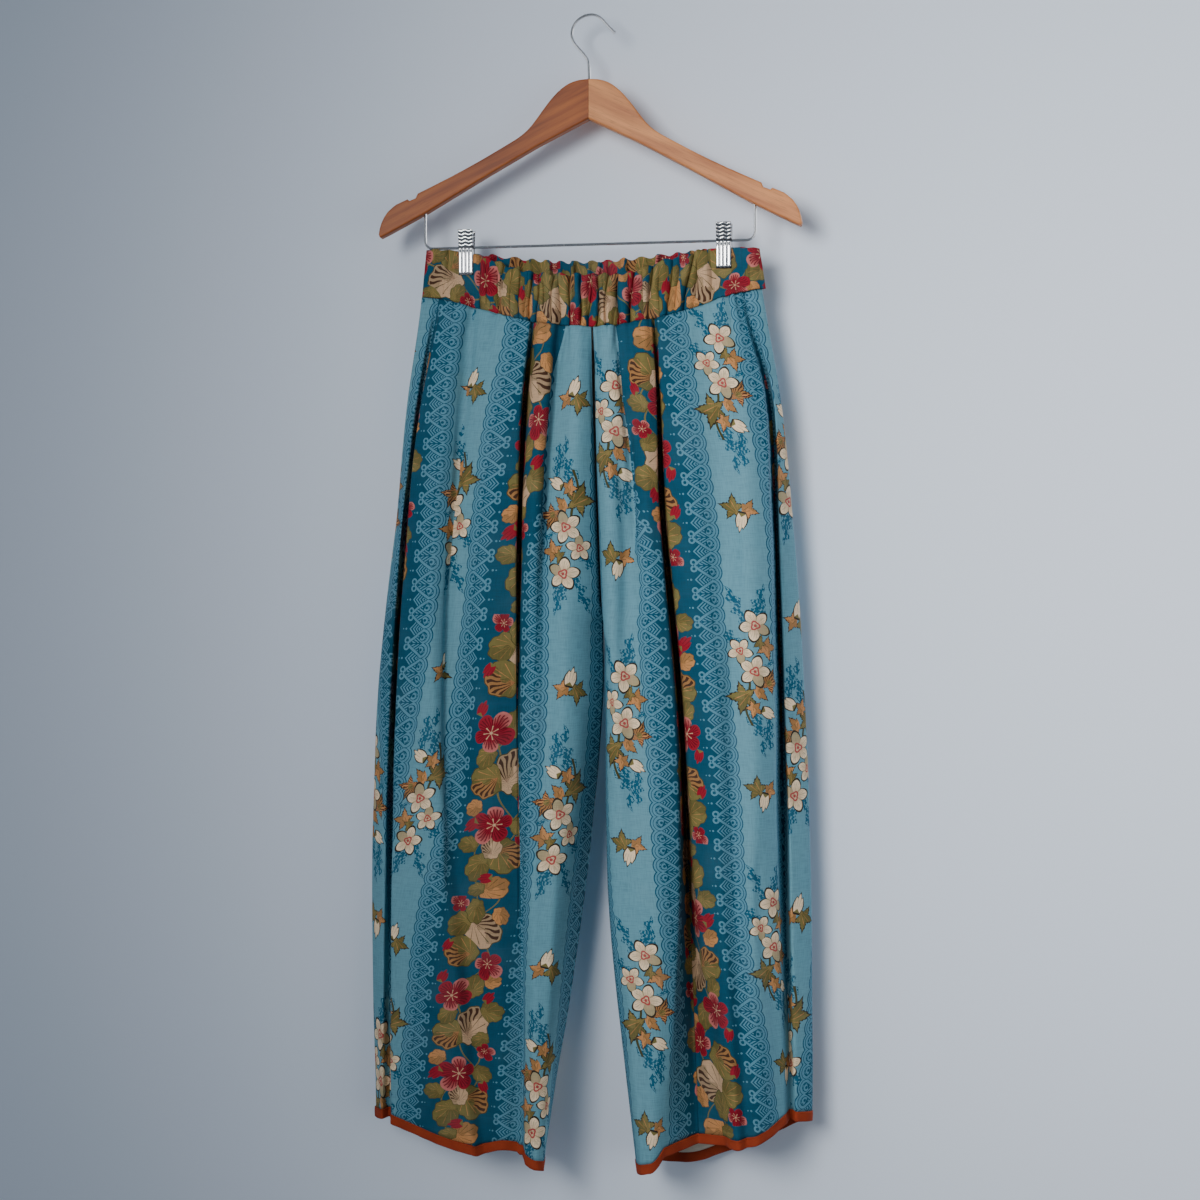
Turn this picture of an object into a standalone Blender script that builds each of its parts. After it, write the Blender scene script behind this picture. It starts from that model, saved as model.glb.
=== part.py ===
"""Barrel leg trousers of printed cotton, hung by two clips from a wooden trouser hanger.

The model stands in metres with +Z up.  Its origin is the inside top of the hanger's hook, where it
hangs.  The front of the trousers faces -Y, and the wearer's right leg is on the -X side.
The tables below are in millimetres.  The cloth is built as walls round closed rings: each row of a
fold table is one fold that runs down the leg, with its place across and its depth at six heights.
"""
import math
from collections import namedtuple

import bmesh
import bpy
from mathutils import Matrix, Vector

MM = 0.001                      # the tables' unit, in metres

# ---------------------------------------------------------------- driving dimensions, millimetres
HANGER_CENTRE = -2.1            # where the two arms and the hook's stem meet, across
ARM_LEAN = 0.045                # each arm runs this far forward for each millimetre out from the joint
ARM_THICK = 12.0
ARM_ROUND = 2.6                 # rounding of the arms' long edges
ARM_HOLE_DEEP = 14.0            # how far the bar's wire goes up into an arm
HOLE_PLAY = 0.4                 # the holes' radius over the wire's
HOLE_SIDES = 12
STEM_DEEP = 22.0                # how far the hook's stem goes down into the joint
WIRE_RADIUS = 1.5
BAR_REACH = 174.0               # from the centre to each upright of the bar
BAR_HEIGHT = -239.5
BAR_CORNER = 8.0
BAR_DEPTH = -BAR_REACH * ARM_LEAN             # the bar and the trousers hang in this plane

CLOTH = 1.6                     # wall of the legs
BAND_CLOTH = 2.0                # wall of the doubled waistband
BINDING_CLOTH = 2.6             # wall of the hem's binding
BINDING_TALL = 10.0
SEAM_GAP = 0.3
GROOVE_FLOOR = 1.7              # half the width of the floor of a pleat that holds a seam
SPAN_STEP = 23.0                # longest piece of cloth between two columns of points
SHARPEST_MITRE = 0.45           # least cosine that a fold's corner is thickened by

LEVELS = (-312.0, -404.0, -527.0, -712.0, -917.0, -1174.0)
CROTCH = -632.0
UPPER_ROWS = (0.0, 0.12, 0.30, 0.50, 0.70, 0.85, 0.93, 0.977, 1.0)
LOWER_ROWS = 8

# ---------------------------------------------------------------- fold tables
# form: soft is a round crest or hollow, fold a pressed edge, groove a pleat with a seam in its floor.
# hem is the height of the finished hem there; x and y give the fold at each of LEVELS.
Fold = namedtuple("Fold", "name form hem x y")

RIGHT_FRONT = (
    Fold("side_seam", "groove", -1153, (-164, -181, -197, -209, -212, -213), (-2, 1, 3, 5, 0, -8)),
    Fold("side_fold", "fold", -1157, (-159, -175, -186, -197, -204, -206), (-7, -20, -32, -38, -34, -24)),
    Fold("outer_crest", "soft", -1178, (-138, -147, -154, -156, -142, -114), (-12, -30, -44, -50, -52, -52)),
    Fold("outer_hollow", "soft", -1178, (-123, -132, -135, -140, -127, -102), (-9, -20, -30, -32, -38, -42)),
    Fold("middle_crest", "soft", -1173, (-89, -97, -99, -102, -91, -83), (-16, -34, -46, -50, -52, -47)),
    Fold("pleat_outer", "fold", -1175, (-58, -66, -68, -70, -68, -69), (-20, -34, -44, -42, -44, -42)),
    Fold("pleat_seam", "groove", -1178, (-54.5, -68, -73, -69, -65, -64), (-16, -6, -8, -28, -34, -34)),
    Fold("pleat_inner", "fold", -1186, (-51, -56, -62, -64, -60, -58), (-21, -34, -44, -44, -46, -50)),
    Fold("inner_crest", "soft", -1189, (-37, -41, -48, -50, -50, -49), (-27, -42, -52, -52, -54, -56)),
    Fold("inner_hollow", "soft", -1190, (-23, -30, -39, -40, -41, -44), (-22, -26, -36, -48, -53, -56)),
    Fold("rise_crest", "soft", -1192, (-9, -8, -13, -16, -27, -40), (-28, -38, -44, -50, -50, -48)),
)
RIGHT_SIDE = (
    Fold("side_edge", "soft", -1156, (-182, -196, -209, -229, -236, -231), (0, 2, 5, 8, 8, 5)),
    Fold("side_ridge", "fold", -1154, (-168.5, -184, -198, -211, -216, -219), (-5, -10, -13, -15, -17, -17)),
)
LEFT_FRONT = (
    Fold("rise_fold", "soft", -1191, (13, 16, 20, 25, 27, 54), (-28, -38, -44, -46, -42, -40)),
    Fold("rise_crest", "soft", -1189, (26, 29, 31, 35, 40, 61), (-31, -44, -52, -58, -58, -58)),
    Fold("inner_hollow", "soft", -1187, (42, 48, 49, 52, 56, 68), (-26, -36, -42, -52, -58, -62)),
    Fold("inner_crest", "soft", -1185, (57, 62, 67, 76, 79, 76), (-30, -44, -54, -62, -62, -62)),
    Fold("pleat_inner", "fold", -1179, (66.5, 75, 80, 96, 100, 84), (-24, -38, -48, -54, -52, -54)),
    Fold("pleat_seam", "groove", -1163, (70, 73, 77, 95, 105, 117), (-19, -14, -6, -4, -8, -18)),
    Fold("pleat_outer", "fold", -1164, (73.5, 80, 87, 105, 117, 147), (-24, -36, -44, -46, -40, -34)),
    Fold("middle_crest", "soft", -1161, (89, 101, 115, 134, 142, 160), (-20, -38, -50, -58, -58, -52)),
    Fold("outer_hollow", "soft", -1159, (114, 131, 142, 153, 158, 168), (-13, -30, -40, -48, -50, -46)),
    Fold("outer_crest", "soft", -1156, (146, 162, 169, 176, 177, 181), (-14, -32, -46, -54, -54, -46)),
    Fold("side_fold", "fold", -1141, (160, 184, 190, 195, 197, 206), (-8, -22, -34, -40, -34, -20)),
    Fold("side_seam", "groove", -1139, (164.5, 187, 193, 199, 203, 210), (-2.5, 1, 3, 5, 2, -7)),
)
LEFT_SIDE = (
    Fold("side_ridge", "fold", -1140, (169, 192, 198, 204, 210, 216), (-5, -10, -13, -15, -16, -13)),
    Fold("side_edge", "soft", -1142, (183, 198, 210, 222, 229, 230), (0, 2, 5, 5, 5, 2)),
)

# The back of both legs: across runs from the inner edge (0) to the side edge (1), and y is the depth
# at each of LEVELS.
BackFold = namedtuple("BackFold", "across y right_hem left_hem")
BACK = (
    BackFold(0.07, (14, 20, 26, 18, 18, 15), -1192, -1193),
    BackFold(0.17, (16, 26, 32, 29, 25, 22), -1189, -1195),
    BackFold(0.32, (14, 21, 26, 22, 19, 15), -1185, -1192),
    BackFold(0.49, (17, 28, 34, 34, 31, 28), -1181, -1184),
    BackFold(0.67, (12, 20, 26, 24, 22, 18), -1174, -1172),
    BackFold(0.84, (9, 17, 25, 29, 27, 24), -1165, -1156),
    BackFold(0.96, (4, 10, 16, 21, 20, 16), -1158, -1145),
)

# Centre seams above the crotch and the inseams below it, height by height.
Seam = namedtuple("Seam", "z x y")
CENTRE = Seam((-312, -404, -527, -632), (5.5, 8.5, 12.5, 16.5), None)
RISE_DEPTH = {
    "front": Seam((-312, -404, -527, -590, -618, -632), None, (-26, -26, -24, -21, -17, -12)),
    "back": Seam((-300, -404, -527, -585, -612, -632), None, (15, 21, 26, 21, 9, -12)),
}
INSEAM = {
    "right": Seam((-632, -712, -917, -1174), (15.2, 15.2, -5, -45), (-12, -10, -3, -10)),
    "left": Seam((-632, -712, -917, -1174), (17.8, 17.8, 22, 50), (-12, -10, -3, -6)),
}
INSEAM_HEM = {"right": -1193, "left": -1192}

# The waist seam's height across the front and the back: places across, then heights.
WAIST_SEAM = {
    "front": ((-182, -168, -141, -125, -92, -55, -22, 16, 67, 107, 137, 155, 168, 184),
              (-291, -292, -298, -303, -312, -321.5, -326, -328.5, -321.5, -310.5, -301.5, -295.5, -293,
               -290)),
    "back": ((-182, -90, 0, 100, 184), (-291, -301, -307, -300, -290)),
}

# The waistband's top edge: height and depth at places across. The clips hold it flat at -131 and 140.
Edge = namedtuple("Edge", "x z y")
BAND_EDGE = {
    "front": (
        Edge(-176, -241, 0.9),
        Edge(-170, -241.1, -2.4),
        Edge(-164, -241.3, -3.2),
        Edge(-153, -241.8, -2.7),
        Edge(-142, -243, -1.4),
        Edge(-121, -247.4, -1.4),
        Edge(-106, -252.1, -4.5),
        Edge(-80, -263.5, -10.5),
        Edge(-52, -270.5, -15),
        Edge(14, -274, -20),
        Edge(40, -274, -20),
        Edge(75, -262, -14),
        Edge(112, -250.6, -4.5),
        Edge(130, -247.7, -1.4),
        Edge(150, -247.1, -1.4),
        Edge(159, -247.5, -2.7),
        Edge(167, -248, -3.2),
        Edge(172, -248.4, -2.4),
        Edge(178, -249, 0.8),
    ),
    "back": (
        Edge(-176, -241, -0.9),
        Edge(-170, -241.5, 2.4),
        Edge(-164, -242, 3.2),
        Edge(-153, -243, 2.7),
        Edge(-142, -244, 1.4),
        Edge(-121, -246.2, 1.4),
        Edge(-106, -248.1, 3.6),
        Edge(-33, -256, 7),
        Edge(9, -256, 9),
        Edge(52, -254, 7),
        Edge(112, -248.9, 3.6),
        Edge(130, -247.4, 1.4),
        Edge(150, -247.2, 1.4),
        Edge(159, -247.7, 2.7),
        Edge(167, -248.2, 3.2),
        Edge(172, -248.5, 2.4),
        Edge(178, -249, -0.8),
    ),
}
BAND_SEAM_ENDS = (-178.8, 182.4)
BAND_EDGE_ENDS = (-174.3, 176.2)
BAND_ROWS = (0.0, 0.25, 0.5, 0.76, 1.0)
BAND_END_BULGE = 3.0            # how far the band's ends round out from the flat,
BAND_END_ROUND = 8.0            # over this much of the end,
BAND_END_FADE = 70.0            # and this far in before it has faded out
GATHERS = {"front": 20, "back": 16}
GATHER_HIGH = 1.9               # half the height of a gather from crest to hollow
GATHER_SHARE_OUTSIDE = 0.45     # how much of that is left between a clip and the side
POINTS_TO_GATHER = 4

CLIP_PLACES = {"right": -131.5, "left": 140.0}
CLIP_HOLD = 16.0                # the clips press the band flat this far to each side
CLIP_WIDE = 15.6
CLIP_SHEET = 0.8
CLIP_TOP, CLIP_GRIP_END, CLIP_JAW_TOP, CLIP_JAW_END, CLIP_FOOT = -221.5, -240.0, -246.0, -266.0, -268.5
CLIP_HEIGHTS = (CLIP_TOP, CLIP_GRIP_END, CLIP_JAW_TOP, CLIP_JAW_END, CLIP_FOOT)
CLIP_DEPTHS = (7.4, 4.8, 3.6, 3.3, 4.0)     # from the cloth's middle, at each of CLIP_HEIGHTS
GRIP_RIBS = 5
JAW_FLUTES = 4
RIB_HIGH = 0.5
FLUTE_HIGH = 0.25
SPRING_OUTER = 3.3
SPRING_LONG = 10.0
SPRING_SIDES = 12

# The upper and lower outline of an arm: distance from the joint, height.
ARM_TOP = ((0, -66.5), (10, -67.3), (20, -70.4), (29, -76.3), (38, -85), (48, -97.5),
           (60, -113.5), (70, -123), (84, -131.8), (115, -149.2), (146, -165.2), (181, -181.8))
ARM_NOTCH = ((183.2, -186.6), (190.2, -189.4), (192.0, -187.6))
ARM_TIP = ((204, -192.8), (213.5, -200.8), (220, -212), (222.8, -224), (220.8, -227.6))
ARM_UNDER = ((210, -222.4), (172, -202.6), (105, -163.8), (53, -134.8), (0, -108.3))

# The hook's wire from the joint up, round and out to its tip: across, height.
HOOK = ((-2.1, -88.5), (-2.2, -60), (-3.2, -48), (-5.8, -42.5), (-10.2, -37), (-15.8, -30.5),
        (-19.4, -25), (-20.8, -18.5), (-19.8, -12), (-16.8, -6.4), (-12.2, -2.2), (-6.6, 0.6),
        (0, 1.5), (5.6, 0.2), (10.8, -3.4), (15.2, -8.2), (19.4, -13), (23.6, -17.2))
TIP_BALL = 1.45                 # the tip's ball is this much wider than the wire


# ---------------------------------------------------------------- helpers
def clear_scene():
    for thing in list(bpy.data.objects):
        bpy.data.objects.remove(thing, do_unlink=True)


def material(name, colour, roughness, metallic=0.0):
    made = bpy.data.materials.new(name)
    made.use_nodes = True
    shader = made.node_tree.nodes["Principled BSDF"]
    shader.inputs["Base Color"].default_value = (*colour, 1.0)
    shader.inputs["Roughness"].default_value = roughness
    shader.inputs["Metallic"].default_value = metallic
    return made


def place(name, mesh, finish, smooth_below=50.0):
    mesh.materials.append(finish)
    mesh.shade_smooth()
    mesh.set_sharp_from_angle(angle=math.radians(smooth_below))
    thing = bpy.data.objects.new(name, mesh)
    bpy.context.scene.collection.objects.link(thing)
    return thing


def blend(low, high, part):
    return low + (high - low) * part


def ease(part):
    part = min(max(part, 0.0), 1.0)
    return part * part * (3.0 - 2.0 * part)


def hermite(start, leave, stop, arrive, t):
    """A place along the smooth curve between two numbers or points with given directions."""
    return ((2 * t**3 - 3 * t**2 + 1) * start + (t**3 - 2 * t**2 + t) * leave
            + (3 * t**2 - 2 * t**3) * stop + (t**3 - t**2) * arrive)


def curve_through(stations, values, at):
    """The smooth curve through a table's values, straight beyond its ends. Stations may fall or rise."""
    if stations[0] > stations[-1]:
        stations = [-s for s in stations]
        at = -at
    last = len(stations) - 1
    span = min(max(sum(1 for s in stations if s <= at) - 1, 0), last - 1)
    width = stations[span + 1] - stations[span]
    slopes = []
    for here in (span, span + 1):
        before, after = max(here - 1, 0), min(here + 1, last)
        slopes.append((values[after] - values[before]) / (stations[after] - stations[before]))
    if at < stations[0]:
        return values[0] + slopes[0] * (at - stations[0])
    if at > stations[-1]:
        return values[-1] + slopes[1] * (at - stations[-1])
    t = (at - stations[span]) / width
    return hermite(values[span], slopes[0] * width, values[span + 1], slopes[1] * width, t)


def hung(point):
    """A table's point, in millimetres, as a place in the model: the cloth hangs in the bar's plane."""
    return Vector((point[0], point[1] + BAR_DEPTH, point[2])) * MM


# ---------------------------------------------------------------- cloth walls
def ring_normals(row, closed, end_normals):
    """Outward directions, with mitred lengths, at the points of one row that runs anticlockwise."""
    normals = []
    last = len(row) - 1
    for i, point in enumerate(row):
        if i in (0, last) and not closed:
            normals.append(Vector(end_normals[0 if i == 0 else 1]))
            continue
        before = row[i - 1] if i > 0 else row[last - 1]
        after = row[i + 1] if i < last else row[1]
        into = Vector((point[0] - before[0], point[1] - before[1])).normalized()
        out = Vector((after[0] - point[0], after[1] - point[1])).normalized()
        middle = Vector((into.y + out.y, -into.x - out.x))
        if middle.length < 0.05:
            middle = Vector((into.y, -into.x))
        middle.normalize()
        mitre = max(middle.dot(Vector((into.y, -into.x))), SHARPEST_MITRE)
        normals.append(middle / mitre)
    return normals


def wall(name, rows, normals, thick, finish, first=0, last=None, ring=False):
    """A closed solid along the columns first to last of a ring's rows, half a gap short at each end."""
    last = len(rows[0]) - 1 if last is None else last
    shell = bmesh.new()
    faces = {"outer": [], "inner": []}
    for row, row_normals in zip(rows, normals):
        line = {"outer": [], "inner": []}
        for i in range(first, last + (0 if ring else 1)):
            x, y, z = row[i]
            normal = row_normals[i]
            if not ring and i in (first, last):
                along = Vector((-normal.y, normal.x)).normalized()
                shift = SEAM_GAP / 2 if i == first else -SEAM_GAP / 2
                x, y = x + along.x * shift, y + along.y * shift
            half = normal * thick / 2
            line["outer"].append(shell.verts.new(hung((x + half.x, y + half.y, z))))
            line["inner"].append(shell.verts.new(hung((x - half.x, y - half.y, z))))
        for face in faces:
            faces[face].append(line[face])
    outer, inner = faces["outer"], faces["inner"]
    count = len(outer[0])
    spans = [(i, (i + 1) % count) for i in range(count if ring else count - 1)]
    for upper in range(len(outer) - 1):
        lower = upper + 1
        for a, b in spans:
            shell.faces.new((outer[upper][a], outer[lower][a], outer[lower][b], outer[upper][b]))
            shell.faces.new((inner[upper][a], inner[upper][b], inner[lower][b], inner[lower][a]))
        if not ring:
            shell.faces.new((outer[upper][0], inner[upper][0], inner[lower][0], outer[lower][0]))
            shell.faces.new((outer[upper][-1], outer[lower][-1], inner[lower][-1], inner[upper][-1]))
    for a, b in spans:
        shell.faces.new((outer[0][a], outer[0][b], inner[0][b], inner[0][a]))
        shell.faces.new((outer[-1][a], inner[-1][a], inner[-1][b], outer[-1][b]))
    mesh = bpy.data.meshes.new(name)
    shell.to_mesh(mesh)
    shell.free()
    return place(name, mesh, finish)


# ---------------------------------------------------------------- legs
def back_folds(leg):
    """The back's rows as folds of one leg, from its inner edge to its side."""
    side = (RIGHT_SIDE[0] if leg == "right" else LEFT_SIDE[1]).x
    seam = INSEAM[leg]
    folds = []
    for number, row in enumerate(BACK):
        inner = []
        for z in LEVELS:
            edge = CENTRE if z > CROTCH else seam
            inner.append(curve_through(edge.z, edge.x, z))
        across = tuple(blend(a, b, row.across) for a, b in zip(inner, side))
        hem = row.right_hem if leg == "right" else row.left_hem
        folds.append(Fold(f"back_{number}", "soft", hem, across, row.y))
    return folds


def leg_folds(leg):
    """All folds of a leg, anticlockwise from one edge of the rise to the other."""
    front_rise = Fold("front", "rise", INSEAM_HEM[leg], None, None)
    back_rise = Fold("back", "rise", INSEAM_HEM[leg], None, None)
    back = back_folds(leg)
    if leg == "right":
        return [back_rise, *back, *RIGHT_SIDE, *RIGHT_FRONT, front_rise]
    return [front_rise, *LEFT_FRONT, *LEFT_SIDE, *reversed(back), back_rise]


def fold_place(leg, fold, z):
    if fold.form != "rise":
        return curve_through(LEVELS, fold.x, z), curve_through(LEVELS, fold.y, z)
    if z > CROTCH + 0.01:
        rise = RISE_DEPTH[fold.name]
        return curve_through(CENTRE.z, CENTRE.x, z), curve_through(rise.z, rise.y, z)
    seam = INSEAM[leg]
    return curve_through(seam.z, seam.x, z), curve_through(seam.z, seam.y, z)


def fold_top(fold):
    if fold.form == "rise":
        return curve_through(*WAIST_SEAM[fold.name], CENTRE.x[0])
    face = "back" if fold.name.startswith("back") else "front"
    return curve_through(*WAIST_SEAM[face], fold.x[0])


def leg_row(leg, folds, heights):
    """One row of points round a leg, with the columns where its seams lie."""
    keys = [fold_place(leg, fold, z) for fold, z in zip(folds, heights)]
    points, seams = [], {}
    for i, (fold, key, z) in enumerate(zip(folds, keys, heights)):
        if fold.form == "groove":
            points.append((key[0] - GROOVE_FLOOR, key[1], z))
            seams[fold.name] = len(points)
            points.append((key[0], key[1], z))
            points.append((key[0] + GROOVE_FLOOR, key[1], z))
        else:
            points.append((*key, z))
        if i == len(folds) - 1:
            break
        start, stop = span_ends(folds, keys, i)
        chord = stop - start
        leave, arrive = chord, chord
        leave_z = arrive_z = heights[i + 1] - z
        if fold.form == "soft":
            leave = (Vector(keys[i + 1]) - Vector(keys[i - 1])).normalized() * chord.length
            leave_z = (heights[i + 1] - heights[i - 1]) / 2
        if folds[i + 1].form == "soft":
            arrive = (Vector(keys[i + 2]) - Vector(keys[i])).normalized() * chord.length
            arrive_z = (heights[i + 2] - z) / 2
        steps = span_steps(leg, folds, i)
        for step in range(1, steps):
            t = step / steps
            spot = hermite(start, leave, stop, arrive, t)
            points.append((spot.x, spot.y, hermite(z, leave_z, heights[i + 1], arrive_z, t)))
    return points, seams


def span_ends(folds, keys, i):
    start, stop = Vector(keys[i]), Vector(keys[i + 1])
    if folds[i].form == "groove":
        start.x += GROOVE_FLOOR
    if folds[i + 1].form == "groove":
        stop.x -= GROOVE_FLOOR
    return start, stop


def span_steps(leg, folds, i):
    """Enough columns between two folds for the widest place between them, the same in every row."""
    widest = 0.0
    for z in LEVELS:
        a, b = Vector(fold_place(leg, folds[i], z)), Vector(fold_place(leg, folds[i + 1], z))
        widest = max(widest, (a - b).length)
    most = 2 if "groove" in (folds[i].form, folds[i + 1].form) else 3
    return min(max(math.ceil(widest / SPAN_STEP), 1), most)


def leg_rings(leg):
    folds = leg_folds(leg)
    tops = [fold_top(fold) - SEAM_GAP / 2 for fold in folds]
    hems = [fold.hem + BINDING_TALL + SEAM_GAP / 2 for fold in folds]
    rows, normals = [], []
    ends = ((0, 1), (0, -1)) if leg == "right" else ((0, -1), (0, 1))
    parts = [(part, False) for part in UPPER_ROWS]
    parts += [(step / LOWER_ROWS, True) for step in range(1, LOWER_ROWS + 1)]
    for part, below in parts:
        if below:
            heights = [blend(CROTCH, hem, part) for hem in hems]
        else:
            heights = [blend(top, CROTCH, part) for top in tops]
        row, seams = leg_row(leg, folds, heights)
        rows.append(row)
        normals.append(ring_normals(row, below or part == 1.0, ends))
    return rows, normals, seams


def build_leg(leg, finish):
    rows, normals, seams = leg_rings(leg)
    last = len(rows[0]) - 1
    if leg == "right":
        cuts = {"back": (0, seams["side_seam"]), "front_outer": (seams["side_seam"], seams["pleat_seam"]),
                "front_inner": (seams["pleat_seam"], last)}
    else:
        cuts = {"front_inner": (0, seams["pleat_seam"]),
                "front_outer": (seams["pleat_seam"], seams["side_seam"]), "back": (seams["side_seam"], last)}
    for panel, (first, stop) in cuts.items():
        wall(f"{leg}_{panel}", rows, normals, CLOTH, finish, first, stop)
    return rows[0]


def build_binding(leg, finish):
    """The bias binding folded over the raw hem, as a thicker band right round."""
    folds = leg_folds(leg)
    rows, normals = [], []
    for rise in (BINDING_TALL - SEAM_GAP / 2, BINDING_TALL / 2, 0.0):
        row, _ = leg_row(leg, folds, [fold.hem + rise for fold in folds])
        rows.append(row)
        normals.append(ring_normals(row, True, None))
    wall(f"{leg}_hem_binding", rows, normals, BINDING_CLOTH, finish, ring=True)


# ---------------------------------------------------------------- waistband
def leg_tops(rows):
    """The heights of the legs' top edges, place by place across the front and across the back."""
    tops = {"front": [], "back": []}
    for leg, row in rows.items():
        side = row.index(min(row) if leg == "right" else max(row))
        back, front = (row[:side + 1], row[side:]) if leg == "right" else (row[side:], row[:side + 1])
        tops["front"] += [(x, z) for x, _, z in front]
        tops["back"] += [(x, z) for x, _, z in back]
    return {face: sorted(spots) for face, spots in tops.items()}


def height_on(line, x):
    """The height of a line of points at a place across, straight from point to point."""
    for (x0, z0), (x1, z1) in zip(line, line[1:]):
        if x0 <= x <= x1:
            return blend(z0, z1, (x - x0) / max(x1 - x0, 1e-6))
    return line[0][1] if x < line[0][0] else line[-1][1]


def seam_line(face):
    """The legs' top edge under one face of the waistband, crest to crest: places across and depths."""
    spots = []
    for leg in ("right", "left"):
        for fold in leg_folds(leg):
            back = fold.name.startswith("back")
            crest = fold.form in ("soft", "fold") and "ridge" not in fold.name and "hollow" not in fold.name
            if fold.name == "side_edge" or (crest and back == (face == "back")):
                spots.append(fold_place(leg, fold, fold_top(fold)))
    spots.sort()
    return [s[0] for s in spots], [s[1] for s in spots]


def clip_hold(x):
    """1 where a clip's jaws hold the band flat, falling to 0 away from it."""
    return max(math.exp(-(((x - spot) / CLIP_HOLD) ** 6)) for spot in CLIP_PLACES.values())


def gather(face, part, x):
    """Depth that the elastic's gathers add at a place along the band, uneven from one to the next."""
    outside = x < CLIP_PLACES["right"] or x > CLIP_PLACES["left"]
    high = GATHER_HIGH * (GATHER_SHARE_OUTSIDE if outside else 1.0) * (1.0 - clip_hold(x))
    edge = min(part, 1.0 - part) * GATHERS[face]
    uneven = 0.75 + 0.25 * math.sin(part * 17.0 + (1.0 if face == "front" else 3.0))
    wander = 0.6 * math.sin(part * 11.0 + 0.7)
    return high * uneven * min(edge, 1.0) * math.sin(2 * math.pi * part * GATHERS[face] + wander)


def side_round(face, x):
    """How far the band's end rounds away from the flat there, fading out towards the middle."""
    near = min(x - BAND_SEAM_ENDS[0], BAND_SEAM_ENDS[1] - x)
    corner = math.sqrt(1.0 - (1.0 - min(near / BAND_END_ROUND, 1.0)) ** 2)
    bulge = BAND_END_BULGE * corner * (1.0 - ease(near / BAND_END_FADE))
    return -bulge if face == "front" else bulge


def band_column(face, part, seam, tops):
    """One column of the waistband from the seam up to its edge."""
    seam_x, edge_x = blend(*BAND_SEAM_ENDS, part), blend(*BAND_EDGE_ENDS, part)
    at_end = part in (0.0, 1.0)
    seam_y = 0.0 if at_end else curve_through(*seam, seam_x) + side_round(face, seam_x)
    stations = [edge.x for edge in BAND_EDGE[face]]
    edge_y = 0.0 if at_end else curve_through(stations, [edge.y for edge in BAND_EDGE[face]], edge_x)
    seam_z = max(height_on(tops, seam_x + near) for near in (-CLOTH, 0.0, CLOTH)) + SEAM_GAP
    edge_z = curve_through(stations, [edge.z for edge in BAND_EDGE[face]], edge_x)
    hold = clip_hold(edge_x)
    column = []
    for up in BAND_ROWS:
        lean = blend(up, ease(up * 2.0), hold)
        ripple = gather(face, part, edge_x) * (0.45 + 0.55 * math.sin(math.pi * min(up + 0.15, 1.0) * 0.75))
        depth = blend(seam_y, edge_y, lean) + ripple
        column.append((blend(seam_x, edge_x, up), depth, blend(seam_z, edge_z, up)))
    return column


def build_waistband(finish, rows):
    columns = []
    tops = leg_tops(rows)
    for face in ("front", "back"):
        seam = seam_line(face)
        count = GATHERS[face] * POINTS_TO_GATHER
        parts = [i / count for i in range(count)]
        if face == "back":
            parts = [1.0 - part for part in parts]
        columns += [band_column(face, part, seam, tops[face]) for part in parts]
    columns.append(columns[0])
    rows = [[column[up] for column in columns] for up in reversed(range(len(BAND_ROWS)))]
    normals = [ring_normals(row, True, None) for row in rows]
    middle = GATHERS["front"] * POINTS_TO_GATHER
    wall("waistband_front", rows, normals, BAND_CLOTH, finish, 0, middle)
    wall("waistband_back", rows, normals, BAND_CLOTH, finish, middle, len(columns) - 1)


# ---------------------------------------------------------------- hanger
def rounded(points, turns):
    """Points on the smooth curve through an outline's stations."""
    spots = [Vector(p) for p in points]
    smooth_line = []
    for i in range(len(spots) - 1):
        before, after = spots[max(i - 1, 0)], spots[min(i + 2, len(spots) - 1)]
        leave, arrive = (spots[i + 1] - before) / 2, (after - spots[i]) / 2
        for step in range(turns):
            smooth_line.append(hermite(spots[i], leave, spots[i + 1], arrive, step / turns))
    return [*smooth_line, spots[-1]]


def build_arm(side, finish, drill):
    """Half of the hanger: a board cut to the arm's outline, with rounded edges, turned a little forward."""
    way = -1 if side == "right" else 1
    outline = [*rounded(ARM_TOP, 2), *(Vector(p) for p in ARM_NOTCH), *rounded(ARM_TIP, 2),
               *(Vector(p) for p in ARM_UNDER)]
    board = bmesh.new()
    loops = []
    for depth in (-ARM_THICK / 2, ARM_THICK / 2):
        loops.append([board.verts.new((way * max(p.x, SEAM_GAP / 2), depth, p.y)) for p in outline])
    count = len(outline)
    for i in range(count):
        j = (i + 1) % count
        board.faces.new((loops[0][i], loops[1][i], loops[1][j], loops[0][j]))
    board.faces.new(loops[0])
    board.faces.new(tuple(reversed(loops[1])))
    bmesh.ops.recalc_face_normals(board, faces=board.faces)
    rims = [edge for edge in board.edges
            if len(edge.link_faces) == 2 and abs(edge.verts[0].co.y - edge.verts[1].co.y) < 0.01
            and max(abs(v.co.x) for v in edge.verts) > SEAM_GAP]
    bmesh.ops.bevel(board, geom=rims, offset=ARM_ROUND, segments=2, profile=0.5, affect="EDGES",
                    clamp_overlap=True)
    for vert in board.verts:
        vert.co.y -= abs(vert.co.x) * ARM_LEAN
        vert.co = (vert.co + Vector((HANGER_CENTRE, 0, 0))) * MM
    mesh = bpy.data.meshes.new(f"hanger_arm_{side}")
    board.to_mesh(mesh)
    board.free()
    arm = place(f"hanger_arm_{side}", mesh, finish, smooth_below=35.0)
    bore = arm.modifiers.new("wire_holes", "BOOLEAN")
    bore.operation = "DIFFERENCE"
    bore.object = drill
    return arm


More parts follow.
